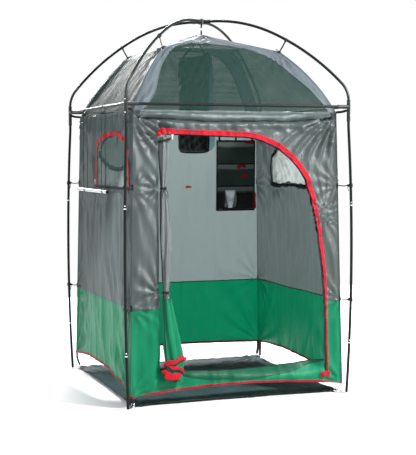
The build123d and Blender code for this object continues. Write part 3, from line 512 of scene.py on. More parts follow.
def arc_through(start, middle, end, count=16):
    """Points of a circle's arc through three 2-D points, without the last."""
    (x1, y1), (x2, y2), (x3, y3) = start, middle, end
    d = 2 * (x1 * (y2 - y3) + x2 * (y3 - y1) + x3 * (y1 - y2))
    s1, s2, s3 = x1**2 + y1**2, x2**2 + y2**2, x3**2 + y3**2
    cx = (s1 * (y2 - y3) + s2 * (y3 - y1) + s3 * (y1 - y2)) / d
    cy = (s1 * (x3 - x2) + s2 * (x1 - x3) + s3 * (x2 - x1)) / d
    radius = math.hypot(x1 - cx, y1 - cy)
    angles = [math.atan2(y - cy, x - cx) for x, y in (start, middle, end)]
    span = (angles[2] - angles[0]) % (2 * math.pi)
    if (angles[1] - angles[0]) % (2 * math.pi) > span:
        span -= 2 * math.pi
    return [(cx + radius * math.cos(angles[0] + span * t), cy + radius * math.sin(angles[0] + span * t))
            for t in np.linspace(0, 1, count, endpoint=False)]


# ---------------------------------------------------------------------------
# walls
# ---------------------------------------------------------------------------
def on_wall(side, u, z, out=0.0):
    """Points in the row frame at u along a wall, height z and a distance out of it."""
    turn = math.radians(TURN[side])
    u, z, out = np.broadcast_arrays(np.asarray(u, float), np.asarray(z, float), np.asarray(out, float))
    reach = wall_half(z) + out
    x = u * math.cos(turn) + reach * math.sin(turn)
    y = u * math.sin(turn) - reach * math.cos(turn)
    return np.stack([x, y, z], axis=-1)


def outward(side):
    turn = math.radians(TURN[side])
    return np.array([math.sin(turn), -math.cos(turn), 0.0])


def hem_height(side, share):
    """Height of a wall's hem at a share of its width, an arch between its corners."""
    low, middle, high = HEM[side]
    chord = low + (high - low) * share
    rise = middle - (low + high) / 2
    return chord + rise * 4 * share * (1 - share)


DOOR_CURVE = (
    [(DOOR_LEFT, DOOR_TOP)]
    + arc_through((0.030, DOOR_TOP_RIGHT), (0.273, 1.407), (0.417, 1.245), 24)
    + arc_through((0.417, 1.245), (0.497, 0.895), (0.531, 0.440), 24)
    + [(0.531, 0.440)]
)
DOOR_OUTLINE = np.array(
    DOOR_CURVE + arc_through((0.531, 0.200), (0.030, 0.172), (DOOR_LEFT, 0.204), 40) + [(DOOR_LEFT, 0.204)]
)


def window_outline(side, shrink=0.0):
    """A window's edge: a level bottom, upright sides and broad oval shoulders."""
    left, right = WINDOW_ENDS[side]
    left, right = left + shrink, right - shrink
    low, high = WINDOW_LOW + shrink, WINDOW_TOP - shrink
    wide, tall = WINDOW_SHOULDER[0] - shrink, WINDOW_SHOULDER[1] - shrink
    turn = np.linspace(0, math.pi / 2, 18)
    points = [(left + 0.012, low), (right - 0.012, low)]
    points += [(right - wide * (1 - math.cos(a)), high - tall * (1 - math.sin(a))) for a in turn]
    points += [(left + wide * (1 - math.cos(a)), high - tall * (1 - math.sin(a))) for a in turn[::-1]]
    return np.array(points)


def header_fold(u):
    """The height of the drooping seam that joins the front panel to the roof."""
    return 1.596 - 0.022 * (1 - (u / 0.6) ** 2) + 0.003 * np.sin(14 * u)


def front_relief(u, z):
    """The front panel: a creased header pulled from both top corners, soft sides, a slack sill."""
    header = smoothstep((z - 1.30) / 0.14)
    out = 0.0085 * creased(ripple(u, z, 8.0, 24.0, 3.1)) * smoothstep((z - 1.49) / 0.04)
    fold_z = header_fold(u)
    slack = smoothstep((0.60 - np.abs(u)) / 0.06)
    out -= 0.030 * np.exp(-((z - fold_z) / 0.009) ** 2) * slack
    out += 0.014 * np.exp(-((z - fold_z - 0.020) / 0.011) ** 2) * slack
    out += 0.010 * np.exp(-((z - fold_z + 0.024) / 0.013) ** 2) * slack
    scallop = creased(ripple(u + 0.6 * (z - 1.55), z, 16.0, 9.0, 12.3, 2))
    out += 0.011 * scallop * smoothstep((z - 1.50) / 0.02) * smoothstep((fold_z - z) / 0.02)
    out += 0.026 * pulls(u, z, 0.625, 1.635, 0.42, 11, 0.6) * header
    out += 0.020 * pulls(u, z, -0.625, 1.63, 0.28, 12, 2.0)
    out += 0.010 * pulls(u, z, 0.53, 1.05, 0.26, 9, 1.4) * smoothstep((u - 0.35) / 0.1)
    out += 0.010 * rays(u, z, -0.465, 1.49, 0.11, 11, 1.0)
    for sign in (-1, 1):
        for height, reach in ((TIE_Z[1], 0.11), (TIE_Z[0], 0.10), (HEM_LOW_Z, 0.15)):
            out += 0.010 * rays(u, z, sign * wall_half(height), height, reach, 12, height)
    streaks = creased(ripple(u + 0.10 * z, z, 9.5, 1.0, 9.7, 2))
    out += 0.0085 * streaks * smoothstep((1.5 - z) / 0.2)
    out += 0.012 * rays(u, z, DOOR_LEFT, ROLL_TIES[0], 0.12, 9, 0.4)
    out += 0.014 * rays(u, z, DOOR_LEFT, ROLL_TIES[1], 0.14, 9, 2.4)
    sill = smoothstep((0.52 - np.abs(u - 0.02)) / 0.10) * smoothstep((0.30 - z) / 0.08)
    lean = smoothstep((z - 0.105) / 0.10)
    out -= sill * lean * (0.045 + 0.012 * np.sin(9 * u + 0.4))
    out += sill * 0.009 * np.sin(52 * (z + 0.05 * u * u) + 3 * u)
    return out


def side_relief(side):
    """A side or back panel: broad billows, pulls at its ties and fine upright folds."""
    seed = {"left": 21.0, "back": 34.0, "right": 47.0}[side]

    def relief(u, z):
        out = 0.013 * ripple(u, z, 1.7, 1.2, seed, 2)
        out += 0.0095 * creased(ripple(u, z, 9.0, 1.3, seed + 3, 2)) * (0.45 + 0.55 * smoothstep((z - 0.7) / 0.6))
        out += 0.0060 * creased(ripple(u + 0.45 * z, z, 5.0, 1.6, seed + 5, 2))
        for sign in (-1, 1):
            for height, reach, size in ((1.61, 0.26, 0.017), (TIE_Z[1], 0.15, 0.011), (TIE_Z[0], 0.14, 0.011)):
                out += size * rays(u, z, sign * wall_half(height), height, reach, 13, seed + height)
            low = HEM[side][0 if sign < 0 else 2]
            out += 0.013 * rays(u, z, sign * wall_half(low), low, 0.30, 15, seed + low)
        if side in WINDOW_ENDS:
            for end in WINDOW_ENDS[side]:
                out += 0.011 * rays(u, z, end, WINDOW_LOW, 0.12, 11, end)
            middle = sum(WINDOW_ENDS[side]) / 2
            out += 0.006 * creased(np.cos(60 * (u - middle))) * smoothstep((z - WINDOW_TOP) / 0.04)
            run = smoothstep((0.085 - np.abs(u - SLIDER_EDGE[side])) / 0.055)
            run = run * smoothstep((0.150 - np.abs(z - SLIDER_MIDDLE_Z)) / 0.055)
            out = np.minimum(out, CLOTH_OUT - 0.030 * run)
        if side == "left":
            below = 0.0235 * smoothstep((RAIL_Z - 0.035 - z) / 0.11)
            above = 0.068 * np.clip(z - RAIL_Z - 0.035, 0, 1)
            out = np.minimum(out, 0.0020 + below + above)
        return np.clip(out, CLOTH_IN, CLOTH_OUT)

    return relief


RELIEF = {"front": front_relief, **{side: side_relief(side) for side in ("left", "back", "right")}}


def relief_at(side, u, z):
    """How far a wall's cloth stands out of its plane, dying away at the corner seams."""
    u, z = np.atleast_1d(np.asarray(u, float)), np.atleast_1d(np.asarray(z, float))
    edge = smoothstep((wall_half(z) - np.abs(u)) / 0.035) * smoothstep((WALL_TOP - z) / 0.02)
    return RELIEF[side](u, z) * edge


def on_cloth(side, u, z, lift=0.0):
    """Points a distance off a wall's cloth, folds and all."""
    return on_wall(side, u, z, relief_at(side, u, z) + lift)


def wall_grid(side):
    """Flat coordinates of a wall's grid, with a row on the seam between its colours."""
    columns, rows = int(1.26 / CELL) + 1, int(1.55 / CELL) + 1
    share, rise = np.meshgrid(np.linspace(0, 1, columns), np.linspace(0, 1, rows))
    low = hem_height(side, share)
    z = low + rise * (WALL_TOP - low)
    for c in range(columns):
        r = int(np.argmin(np.abs(z[:, c] - SEAM_Z)))
        z[r, c] = SEAM_Z
    u = (2 * share - 1) * wall_half(z)
    return np.stack([u.ravel(), z.ravel()], axis=1), row_faces(rows, columns)


def wall_cloth(side, holes):
    """One wall as a single sheet of two colours, with its grid returned for the sheets that fill its holes."""
    flat, faces = wall_grid(side)
    for outline in holes:
        flat = snap(flat, outline, 0.70 * CELL)
    points = on_cloth(side, flat[:, 0], flat[:, 1])
    middles = flat[np.array(faces)].mean(axis=1)
    cut = np.zeros(len(faces), bool)
    for outline in holes:
        cut |= inside(middles, outline)
    kept, kept_faces = keep_faces(points, faces, ~cut)
    centres = np.array([kept[list(f)].mean(axis=0) for f in kept_faces])
    bands = (centres[:, 2] < SEAM_Z).astype(int)
    # The back wall takes the lighter grey, which is painted light; the front wall takes its own glossier grey.
    upper = MAT["back_grey_painted_light" if side == "back" else "grey"]
    if side == "front":
        upper = MAT["front_grey"]
        # Faces above the drooping seam take the lighter header grey: painted light.
        bands[(centres[:, 2] > header_fold(centres[:, 0])) & (np.abs(centres[:, 0]) < 0.57)] = 2
    wall = mesh_object(f"{side}_wall_cloth", kept, kept_faces, [upper, MAT["green"], MAT["header"]],
                       slots=bands.tolist())
    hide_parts(f"wall_{side}")
    return wall, (points, faces, middles, flat)


def wall_strip(name, side, outline, width, material, lift=0.0015, thickness=0.0016, slot=None, wobble=0.0):
    """A tape sewn along a line of a wall, following its folds."""
    line = smooth_path(outline, max(24, int(len(outline) * 3), int(2.2 / 0.012)))
    out = relief_at(side, line[:, 0], line[:, 1]) + lift
    if wobble:
        out = out + wobble * np.sin(np.arange(len(line)) * 0.55) * np.sin(np.arange(len(line)) * 0.17)
    return sweep(name, on_wall(side, line[:, 0], line[:, 1], out), width, thickness, outward(side), material,
                 slot=slot)


def hem_tape(side):
    share = np.linspace(0, 1, 120)
    z = hem_height(side, share)
    u = (2 * share - 1) * wall_half(z)
    path = on_wall(side, u, z + 0.002, relief_at(side, u, z + 0.004))
    return sweep(f"{side}_hem_binding", path, 0.014, 0.0030, outward(side), MAT["hem"], slot="red_trim")


def corner_piping(name, signs):
    """The cord-edged seam at a corner of the cabin."""
    low = 0.060 if signs[1] < 0 else 0.110
    z = np.linspace(low, WALL_TOP, 90)
    half = wall_half(z) + 0.0005
    path = np.stack([signs[0] * half, signs[1] * half, z], 1)
    return round_cord(f"corner_seam_{name}", path, 0.0020, MAT["piping"], slot="webbing")


SIGNS = {"front_left": (-1, -1), "front_right": (1, -1), "back_left": (-1, 1), "back_right": (1, 1)}


def corners():
    """Each corner's name and signs, the direction out of the cabin there and the one across it."""
    for name, (sx, sy) in SIGNS.items():
        away = np.array([sx, sy, 0]) / math.sqrt(2)
        yield name, sx, sy, away, np.array([-away[1], away[0], 0])


def build_walls():
    parts = {}
    holes = {"front": [DOOR_OUTLINE], "back": [],
             "left": [window_outline("left")], "right": [window_outline("right")]}
    for side in TURN:
        wall, parts[side] = wall_cloth(side, holes[side])
        hem = hem_tape(side)
        seam = np.stack([np.linspace(-1, 1, 100) * (wall_half(SEAM_Z) - 0.004), np.full(100, SEAM_Z)], 1)
        if side == "front":
            for label, low, high in (("left", -1.0, DOOR_LEFT - 0.004), ("right", 0.535, 1.0)):
                part = seam[(seam[:, 0] > low) & (seam[:, 0] < high)]
                wall_strip(f"front_seam_{label}", side, part, 0.005, MAT["strap"], lift=-0.0012, slot="webbing")
        else:
            wall_strip(f"{side}_seam", side, seam, 0.006, MAT["strap"], lift=-0.0012, slot="webbing")
    for name, signs in SIGNS.items():
        corner_piping(name, signs)
    return parts


# ---------------------------------------------------------------------------
# roof
# ---------------------------------------------------------------------------
ROOF_BASE = (wall_half(WALL_TOP), WALL_TOP)
ROOF_BULGE, HIP_TIE, ROOF_PEAK_Z = (0.500, 1.829), (0.360, 1.992), 2.114
ROOF_LINE = np.array(arc_through(ROOF_BASE, ROOF_BULGE, HIP_TIE, 60)
                     + [HIP_TIE, (0.18, 2.0535), (0.0, ROOF_PEAK_Z)])
ROOF_RUN = np.concatenate([[0], np.cumsum(np.linalg.norm(np.diff(ROOF_LINE, axis=0), axis=1))])

# Edge of the netting on the front, as places across and up; the band is widest at the upper right.
FRONT_NET = [(-0.545, 1.634), (-0.470, 1.735), (-0.420, 1.850), (-0.375, 1.920), (-0.303, 1.990), (-0.208, 2.030),
             (-0.003, 2.034), (0.206, 1.988), (0.300, 1.942), (0.408, 1.839), (0.500, 1.735), (0.560, 1.634)]
SIDE_NET = [(-0.555, 1.634), (-0.490, 1.740), (-0.405, 1.872), (-0.300, 1.975), (-0.170, 2.022), (0.0, 2.034),
            (0.170, 2.022), (0.300, 1.975), (0.405, 1.872), (0.490, 1.740), (0.555, 1.634)]


def roof_point(side, u, run, out):
    """Points of one roof side at u across it and a distance up its slope."""
    reach = np.interp(run, ROOF_RUN, ROOF_LINE[:, 0])
    z = np.interp(run, ROOF_RUN, ROOF_LINE[:, 1])
    step = 0.004
    lean = unit(np.stack([np.interp(run + step, ROOF_RUN, line) - np.interp(run - step, ROOF_RUN, line)
                          for line in ROOF_LINE.T], 1))
    reach = reach + lean[:, 1] * out
    z = z - lean[:, 0] * out
    turn = math.radians(TURN[side])
    x = u * math.cos(turn) + reach * math.sin(turn)
    y = u * math.sin(turn) - reach * math.cos(turn)
    return np.stack([x, y, z], 1)


def roof_relief(side, u, run, banded):
    """Billows on the netting, tight folds on the bands, and pulls at the ties and corners."""
    seed = {"front": 5.0, "right": 17.0, "back": 29.0, "left": 41.0}[side]
    reach = np.interp(run, ROOF_RUN, ROOF_LINE[:, 0])
    tie = ROOF_RUN[60]
    sag = -0.010 * smoothstep((reach - np.abs(u)) / 0.15) * np.sin(math.pi * np.clip(run / tie, 0, 1))
    out = sag + 0.0035 * ripple(u, run, 5.0, 5.0, seed, 3)
    fold = creased(ripple((reach - np.abs(u)) * 2.2, run, 11.0, 3.2, seed + 2, 2))
    strong = np.where((u < 0) == (side == "front"), 1.0, 0.55) if side in ("front", "left") else 0.5
    out += np.where(banded, 0.0075 * strong * fold, 0.0012 * fold)
    for sign in (-1, 1):
        out += 0.0075 * rays(u, run, sign * HIP_TIE[0], tie, 0.12, 15, seed)
        out += 0.0070 * rays(u, run, sign * ROOF_BASE[0], 0.0, 0.14, 13, seed + sign)
    out += 0.004 * rays(u, run, 0.0, ROOF_RUN[-1], 0.09, 21, seed)
    return out * smoothstep((reach - np.abs(u)) / 0.03) * smoothstep(run / 0.02)


def roof_side(side):
    """One roof side's points and faces, and which faces are netting."""
    columns, rows = 119, 85
    share, run = np.meshgrid(np.linspace(-1, 1, columns), np.linspace(0, ROOF_RUN[-1] - 0.001, rows))
    reach = np.interp(run, ROOF_RUN, ROOF_LINE[:, 0])
    flat = np.stack([(share * reach).ravel(), run.ravel()], 1)
    edge = smooth_path(FRONT_NET if side == "front" else SIDE_NET, 90)
    outline = np.stack([edge[:, 0], np.interp(edge[:, 1], ROOF_LINE[:, 1], ROOF_RUN)], 1)
    free = np.abs(share.ravel()) < 0.999
    snapped = snap(flat, outline, 0.005)
    flat[free] = snapped[free]
    net_point = inside(flat, outline)
    points = roof_point(side, flat[:, 0], flat[:, 1], roof_relief(side, flat[:, 0], flat[:, 1], ~net_point))
    faces = row_faces(rows, columns)
    net = inside(flat[np.array(faces)].mean(axis=1), outline)
    border = roof_point(side, outline[:, 0], outline[:, 1],
                        roof_relief(side, outline[:, 0], outline[:, 1], np.zeros(len(outline), bool)) + 0.0012)
    return points, faces, net, border


def join_pieces(name, pieces, materials, merge=0.0):
    """One mesh piece from several lists of points and faces, welded where they meet when a merge distance is given.
    """
    points, faces = [], []
    for more_points, more_faces in pieces:
        shift = sum(len(p) for p in points)
        points.append(more_points)
        faces += [tuple(i + shift for i in f) for f in more_faces]
    made = mesh_object(name, np.concatenate(points), faces, materials)
    if merge:
        work = bmesh.new()
        work.from_mesh(made.data)
        bmesh.ops.remove_doubles(work, verts=work.verts, dist=merge)
        bmesh.ops.recalc_face_normals(work, faces=work.faces)
        work.to_mesh(made.data)
        work.free()
    return made


def build_roof():
    nets, bands, tapes = [], [], []
    for side in TURN:
        points, faces, net, border = roof_side(side)
        nets.append(keep_faces(points, faces, net))
        bands.append(keep_faces(points, faces, ~net))
        tapes.append(sweep(f"roof_{side}_net_tape", border, 0.009, 0.0016, outward(side) * 0.7 + [0, 0, 0.7],
                           MAT["roof_grey"], slot="roof_cloth"))
    canopy = join_pieces("roof_netting", nets, MAT["roof_net"])
    cloth = join_pieces("roof_bands", bands, MAT["roof_grey"], merge=0.0008)
    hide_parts("roof_mesh")
    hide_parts("roof_hips")


# ---------------------------------------------------------------------------
# windows and door
# ---------------------------------------------------------------------------
# Free edge of each window's inside flap, as places along the wall and up it.
FLAP_EDGE = {
    "left": [(-0.178, 1.405), (-0.110, 1.385), (-0.010, 1.345), (0.140, 1.315), (0.340, 1.312), (0.563, 1.345)],
    "right": [(-0.448, 1.360), (-0.330, 1.455), (-0.150, 1.485), (0.050, 1.490), (0.200, 1.470), (0.298, 1.380)],
}


def build_window(side, wall_parts):
    """The net in a window's opening, a flap inside it, and the tapes round it."""
    points, faces, middles, flat = wall_parts
    outline = window_outline(side)
    in_hole = inside(middles, outline)
    net_points, net_faces = keep_faces(points, faces, in_hole)
    net = mesh_object(f"{side}_window_net", net_points, net_faces, MAT["window_net"])
    edge = smooth_path(FLAP_EDGE[side], 120)
    low = WINDOW_LOW + 0.004
    u, share = np.meshgrid(np.linspace(WINDOW_ENDS[side][0] + 0.004, WINDOW_ENDS[side][1] - 0.004, 96),
                           np.linspace(0, 1, 34))
    top = np.interp(u, edge[:, 0], edge[:, 1])
    z = low + share * (top - low)
    u, z, top, share = u.ravel(), z.ravel(), top.ravel(), share.ravel()
    fold = 0.0050 * creased(ripple(u + 0.4 * z, z, 11.0, 4.0, 61.0 + len(side), 3))
    fold = fold + 0.0060 * pulls(u, z, WINDOW_ENDS[side][1], WINDOW_TOP - 0.03, 0.5, 15, 1.0)
    inward = -0.009 - fold - 0.006 * share - 0.010 * smoothstep((share - 0.85) / 0.15)
    # The flap's pale tone is painted light shining through it.
    flap = mesh_object(f"{side}_window_flap", on_cloth(side, u, z, inward),
                       row_faces(34, 96), MAT["flap"])
    out = relief_at(side, edge[:, 0], edge[:, 1]) - 0.020
    roll = sweep(f"{side}_window_flap_roll", on_wall(side, edge[:, 0], edge[:, 1] - 0.004, out), 0.028, 0.011,
                 outward(side), MAT["roof_grey"], corner=0.8, slot="window_mesh")
    trim_line = np.concatenate([outline[1:], outline[:1]])
    trim = wall_strip(f"{side}_window_trim", side, trim_line, 0.030, MAT["red"], lift=0.0026, thickness=0.0024,
                      slot="red_trim", wobble=0.0010)
    bottom = np.array([(WINDOW_ENDS[side][0] - 0.01, WINDOW_LOW), (sum(WINDOW_ENDS[side]) / 2, WINDOW_LOW - 0.002),
                       (WINDOW_ENDS[side][1] + 0.01, WINDOW_LOW)])
    hem = wall_strip(f"{side}_window_bottom_tape", side, bottom, 0.015, MAT["strap"], lift=0.0034, thickness=0.0024,
                     slot="webbing", wobble=0.0012)
    zipper = wall_strip(f"{side}_window_zip", side, window_outline(side, 0.006)[1:], 0.007, MAT["strap"],
                        lift=-0.0015, thickness=0.0028, slot="webbing")
    wall_strip(f"{side}_window_inner_zip", side, window_outline(side, 0.004)[1:], 0.017, MAT["strap"],
               lift=-0.026, thickness=0.0028, slot="webbing")
    sag = np.linspace(WINDOW_ENDS[side][0] - 0.006, WINDOW_ENDS[side][1] + 0.006, 90)
    sag_z = WINDOW_LOW + 0.004 - 0.012 * np.sin(9 * sag) ** 2 + 0.003 * np.sin(70 * sag)
    gather = on_cloth(side, sag, sag_z, -0.022)
    sweep(f"{side}_window_gathered_hem", gather, 0.026 + 0.007 * np.sin(31 * sag), 0.011, outward(side),
          MAT["pocket_net"], corner=0.8, slot="window_mesh")
    return net, flap


def offset_line(line, distance):
    """A 2-D line moved sideways, to its left as it runs."""
    run = unit(np.gradient(line, axis=0))
    return line + np.stack([-run[:, 1], run[:, 0]], 1) * distance


def build_door_flap():
    """The red storm flap over the door's zip, with its stitch lines, zip tape and gathered end."""
    corners = [DOOR_CURVE[0]] + [p for q, p in zip(DOOR_CURVE, DOOR_CURVE[1:]) if math.dist(p, q) > 0.004]
    start = np.linspace(corners[0], corners[1], 12)[:-1]
    route = smooth_path([*start, *corners[1:], (0.534, 0.30), (0.537, 0.16), (0.538, 0.118)], 260)
    middle = offset_line(route, 0.011)
    width = np.interp(middle[:, 1], [0.12, 0.50, 0.62, 1.05, 1.30, 2.0],
                      [0.008, 0.010, 0.016, 0.025, 0.031, 0.027])
    stretch = np.arange(len(middle)) / len(middle)
    wave = 0.0022 * np.sin(95 * stretch) * np.sin(23 * stretch) + 0.0011 * np.sin(260 * stretch)
    path = on_cloth("front", middle[:, 0], middle[:, 1], 0.0050 + wave)
    flap = sweep("door_storm_flap", path, width, 0.0030, outward("front"), MAT["red"], slot="red_trim")
    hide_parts("door_flap")
    for label, share in (("inner", -0.38), ("outer", 0.38)):
        run = unit(np.gradient(middle, axis=0))
        line = middle + np.stack([-run[:, 1], run[:, 0]], 1) * (width * share)[:, None]
        path = on_cloth("front", line[:, 0], line[:, 1], 0.0062 + wave)
        sweep(f"door_flap_{label}_stitching", path[6:-6], 0.0016, 0.0012, outward("front"), MAT["thread"],
              slot="red_trim")
    seam = np.linspace(-0.585, 0.590, 150)
    seam_z = header_fold(seam)
    # Black tape on the drooping seam; its black also paints the shadow in the groove under the fold.
    black_strap("header_seam_tape_and_painted_shadow", on_cloth("front", seam, seam_z, 0.0015), 0.0075, 0.0022, outward("front"))
    zip_line = offset_line(route, -0.004)
    black_strap("door_zip_tape", on_cloth("front", zip_line[:, 0], zip_line[:, 1]), 0.012, 0.0020, outward("front"))

    patch = smooth_path([(0.500, 0.112), (0.530, 0.122), (0.560, 0.112)], 20)
    path = on_cloth("front", patch[:, 0], patch[:, 1], 0.0045)
    sweep("door_zip_end_patch", path, 0.032, 0.0026, outward("front"), MAT["hem"], slot="red_trim")

    bunch = [(-0.400, 1.509), (-0.425, 1.510), (-0.450, 1.507), (-0.468, 1.500), (-0.474, 1.490)]
    line = smooth_path(bunch, 60)
    lift = 0.010 + 0.004 * np.sin(np.linspace(0, 17, 60)) + np.linspace(0, 0.010, 60)
    sweep("door_flap_gathered_end", on_wall("front", line[:, 0], line[:, 1], lift), 0.024, 0.0045,
          outward("front") + [0.0, 0.0, 0.35], MAT["red"], corner=0.8, slot="red_trim")
    button_parts("door_top_button", on_wall("front", -0.437, 1.487, 0.034), outward("front"), 0.0060,
                 MAT["black_plastic"])


def sill_height(u):
    """Height of the door's sill, lowest at its middle."""
    return SILL_MIDDLE_Z + (SILL_END_Z - SILL_MIDDLE_Z) * ((u - 0.03) / 0.5) ** 2


def build_sill_fold():
    """The spare cloth that folds over the door's sill, in a darker green that paints its shade, and its zip."""
    u, share = flat_grid(np.linspace(-0.462, 0.522, 90), np.linspace(0, 1, 12))
    droop = 0.052 * (1 - ((u - 0.03) / 0.52) ** 2) + 0.002 * np.sin(23 * u)
    z = sill_height(u) + 0.002 * np.sin(math.pi * share) - share * droop
    cloth = on_cloth("front", u, z, 0.0035 + 0.003 * np.sin(math.pi * share))
    # A real fold of cloth; its dark green is painted shade.
    fold = mesh_object("door_sill_fold_painted_shade", cloth, row_faces(12, 90), MAT["green_painted_shade"])
    top = np.linspace(-0.466, 0.526, 110)
    rise = sill_height(top)
    path = on_wall("front", top, rise + 0.001, relief_at("front", top, np.minimum(rise, 0.19)) + 0.0005)
    black_strap("door_sill_zip", path, 0.008, 0.0028, outward("front"))


def button_parts(name, place, facing, radius, material):
    """A small domed button with a rim, turned about its facing direction."""
    outline = [(0.0, 0.35), (0.45, 0.32), (0.72, 0.24), (0.88, 0.30), (1.0, 0.18), (0.96, -0.1), (0.5, -0.25),
               (0.0, -0.28)]
    return turned(name, place, facing, [(r * radius, h * radius) for r, h in outline], material)


def turned(name, place, axis, outline, material, body=FRAME_BODY, sides=28):
    """A solid of revolution: (radius, height) points along an axis from a place."""
    axis = unit(axis)
    first = unit(np.cross(axis, [0.3, 0.2, 0.93] if abs(axis[2]) < 0.9 else [1.0, 0, 0]))
    second = np.cross(axis, first)
    angles = np.linspace(0, 2 * math.pi, sides, endpoint=False)
    rings = [np.asarray(place) + axis * h + max(r, 1e-5) * spokes_of(angles, first, second) for r, h in outline]
    points = np.concatenate(rings)
    faces = row_faces(len(outline), sides, closed=True)
    faces += [tuple(range(sides - 1, -1, -1)), tuple((len(outline) - 1) * sides + c for c in range(sides))]
    return mesh_object(name, points, faces, material, body)


# The rolled door: height, x, distance off the wall, half-width, half-depth.
ROLL_ROWS = [
    (1.484, -0.430, 0.000, 0.034, 0.022), (1.380, -0.436, 0.000, 0.030, 0.024),
    (1.235, -0.440, 0.000, 0.018, 0.018), (1.203, -0.441, 0.000, 0.014, 0.014),
    (1.170, -0.440, 0.002, 0.022, 0.018), (0.930, -0.432, 0.008, 0.034, 0.024),
    (0.680, -0.436, 0.010, 0.022, 0.020), (0.632, -0.438, 0.012, 0.015, 0.015),
    (0.585, -0.432, 0.014, 0.028, 0.018), (0.400, -0.412, 0.020, 0.048, 0.020),
    (0.260, -0.396, 0.023, 0.056, 0.020), (0.140, -0.400, 0.022, 0.050, 0.018),
]
ROLL_TOP, ROLL_LOW = 1.484, 0.140
ROLL_STRAP_Z = 1.466
ROLL_TURNS = 6.2


def roll_row(z):
    """Centre and half-sizes of the rolled door at a height."""
    rows = np.array(sorted(ROLL_ROWS))
    x, lift, wide, deep = (np.interp(z, rows[:, 0], rows[:, k]) for k in range(1, 5))
    return x, -(wall_half(z) + lift), wide, deep


def build_door_roll():
    """The door wound up and gathered: one sheet in a pleated spiral, pinched by two ties."""
    rows, around = 150, 330
    heights = np.linspace(ROLL_TOP, ROLL_LOW, rows)
    share = np.linspace(0, 1, around)
    angle = 2 * math.pi * ROLL_TURNS * share
    points = []
    for z in heights:
        x, y, wide, deep = roll_row(z)
        blend = [roll_row(min(ROLL_TOP, max(ROLL_LOW, z + d))) for d in (-0.02, 0.02)]
        wide = (wide + blend[0][2] + blend[1][2]) / 3
        deep = (deep + blend[0][3] + blend[1][3]) / 3
        loose = smoothstep(min(abs(z - t) for t in ROLL_TIES) / 0.16)
        pleat = (0.20 + 0.14 * loose) * np.sin(5 * angle + 2.6 * math.sin(3.1 * z) + 1.4 * share)
        pleat += 0.075 * creased(np.sin(8 * angle - 5.0 * z + 0.7))
        drift = np.array([noise.noise(Vector((math.cos(a) * 1.7, math.sin(a) * 1.7, z * 7.0 + 3.0 * s)))
                          for a, s in zip(angle, share)])
        grow = 0.16 + 0.80 * share + (pleat * 0.75 + 0.16 * drift) * (0.35 + 0.65 * share)
        grow = np.clip(grow, 0.08, 1.06)
        points.append(np.stack([x + wide * grow * np.cos(angle), y + deep * grow * np.sin(angle),
                                np.full(around, z)], 1))
    points = np.array(points)
    points[:, :, 2] += 0.006 * np.sin(3 * angle)[None, :] * smoothstep((0.30 - heights) / 0.16)[:, None]
    flat = points.reshape(-1, 3)
    faces = row_faces(rows, around)
    green = [1 if flat[list(f), 2].mean() < 0.600 else 0 for f in faces]
    roll = mesh_object("rolled_door", flat, faces, [MAT["door_grey"], MAT["green"]], slots=green)
    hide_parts("door_roll")

    def on_roll(z, bearing, lift):
        """A point just off the roll's outside."""
        x, y, wide, deep = roll_row(z)
        out = 1.0 + lift / wide
        return np.array([x + wide * out * math.cos(bearing), y + deep * (1.0 + lift / deep) * math.sin(bearing), z])

    heights = np.linspace(1.47, 0.15, 130)
    edge_path = np.array([on_roll(z, -2.75 + 0.25 * math.sin(3.2 * z), 0.0008) for z in heights])
    edging = black_strap("rolled_door_edge_tape", edge_path, 0.0055, 0.0020, (-0.3, -1, 0))
    bands = ((0.252, 0.016, -2.95, -0.15, 0.030), (0.218, -0.020, -2.60, -0.30, 0.022),
             (0.168, -0.014, -2.95, -1.05, 0.044))
    for number, (z, tilt, start, end, width) in enumerate(bands):
        bearings = np.linspace(start, end, 60)
        path = np.array([on_roll(z + tilt * (b + 1.6) + 0.005 * math.sin(5 * b + number), b, 0.004 + 0.002 * number)
                         for b in bearings])
        sweep(f"rolled_door_red_band_{number + 1}", path, width, 0.0045, (0, -1, 0), MAT["red"],
                            corner=0.7, slot="red_trim")
        line = path + np.array([0, -0.0030, -width * 0.42])
        black_strap(f"rolled_door_band_zip_{number + 1}", line, 0.0060, 0.0022, (0, -1, 0))

    x, y, wide, deep = roll_row(ROLL_STRAP_Z)
    turns = np.linspace(0, 2 * math.pi, 70, endpoint=False)
    spokes = np.stack([np.cos(turns), np.sin(turns), 0 * turns], 1)
    band = np.array([x, y, ROLL_STRAP_Z]) + spokes * [wide + 0.004, deep + 0.004, 0]
    band[:, 2] += 0.010 * np.cos(turns)
    black_strap("rolled_door_top_strap", band, 0.013, 0.0024, spokes, closed=True)
    for number, z in enumerate(ROLL_TIES):
        x, y, wide, deep = roll_row(z)
        turns = np.linspace(0, 2 * math.pi * 2.1, 110)
        loop = np.stack([x + (wide + 0.0030) * np.cos(turns), y + (deep + 0.0030) * np.sin(turns),
                         z + 0.0045 * (turns / 6.6 - 1)], 1)
        tie = black_cord(f"rolled_door_tie_{number + 1}", loop, 0.0028)
        knot_piece(f"rolled_door_knot_{number + 1}", (x + 0.004, y - deep - 0.006, z), 0.0075)
        if number == 0:
            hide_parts("door_ties")
        for sign in (-1, 1):
            tail = smooth_path([(x + 0.004, y - deep - 0.008, z),
                                (x + 0.004 + sign * 0.012, y - deep - 0.012, z - 0.02),
                                (x + 0.004 + sign * 0.017, y - deep - 0.008, z - 0.052)], 18)
            black_cord(f"rolled_door_tail_{number + 1}_{'left' if sign < 0 else 'right'}", tail, 0.0018)


def knot_piece(name, place, size, material=None, slot="webbing"):
    """An overhand knot: a cord wound in a trefoil."""
    t = np.linspace(0, 2 * math.pi, 60, endpoint=False)
    loop = np.stack([np.sin(t) + 2 * np.sin(2 * t), -np.sin(3 * t) * 1.2, np.cos(t) - 2 * np.cos(2 * t)], 1)
    return round_cord(name, np.asarray(place) + loop * size / 3, size * 0.34, material or MAT["strap"], closed=True,
                      slot=slot)


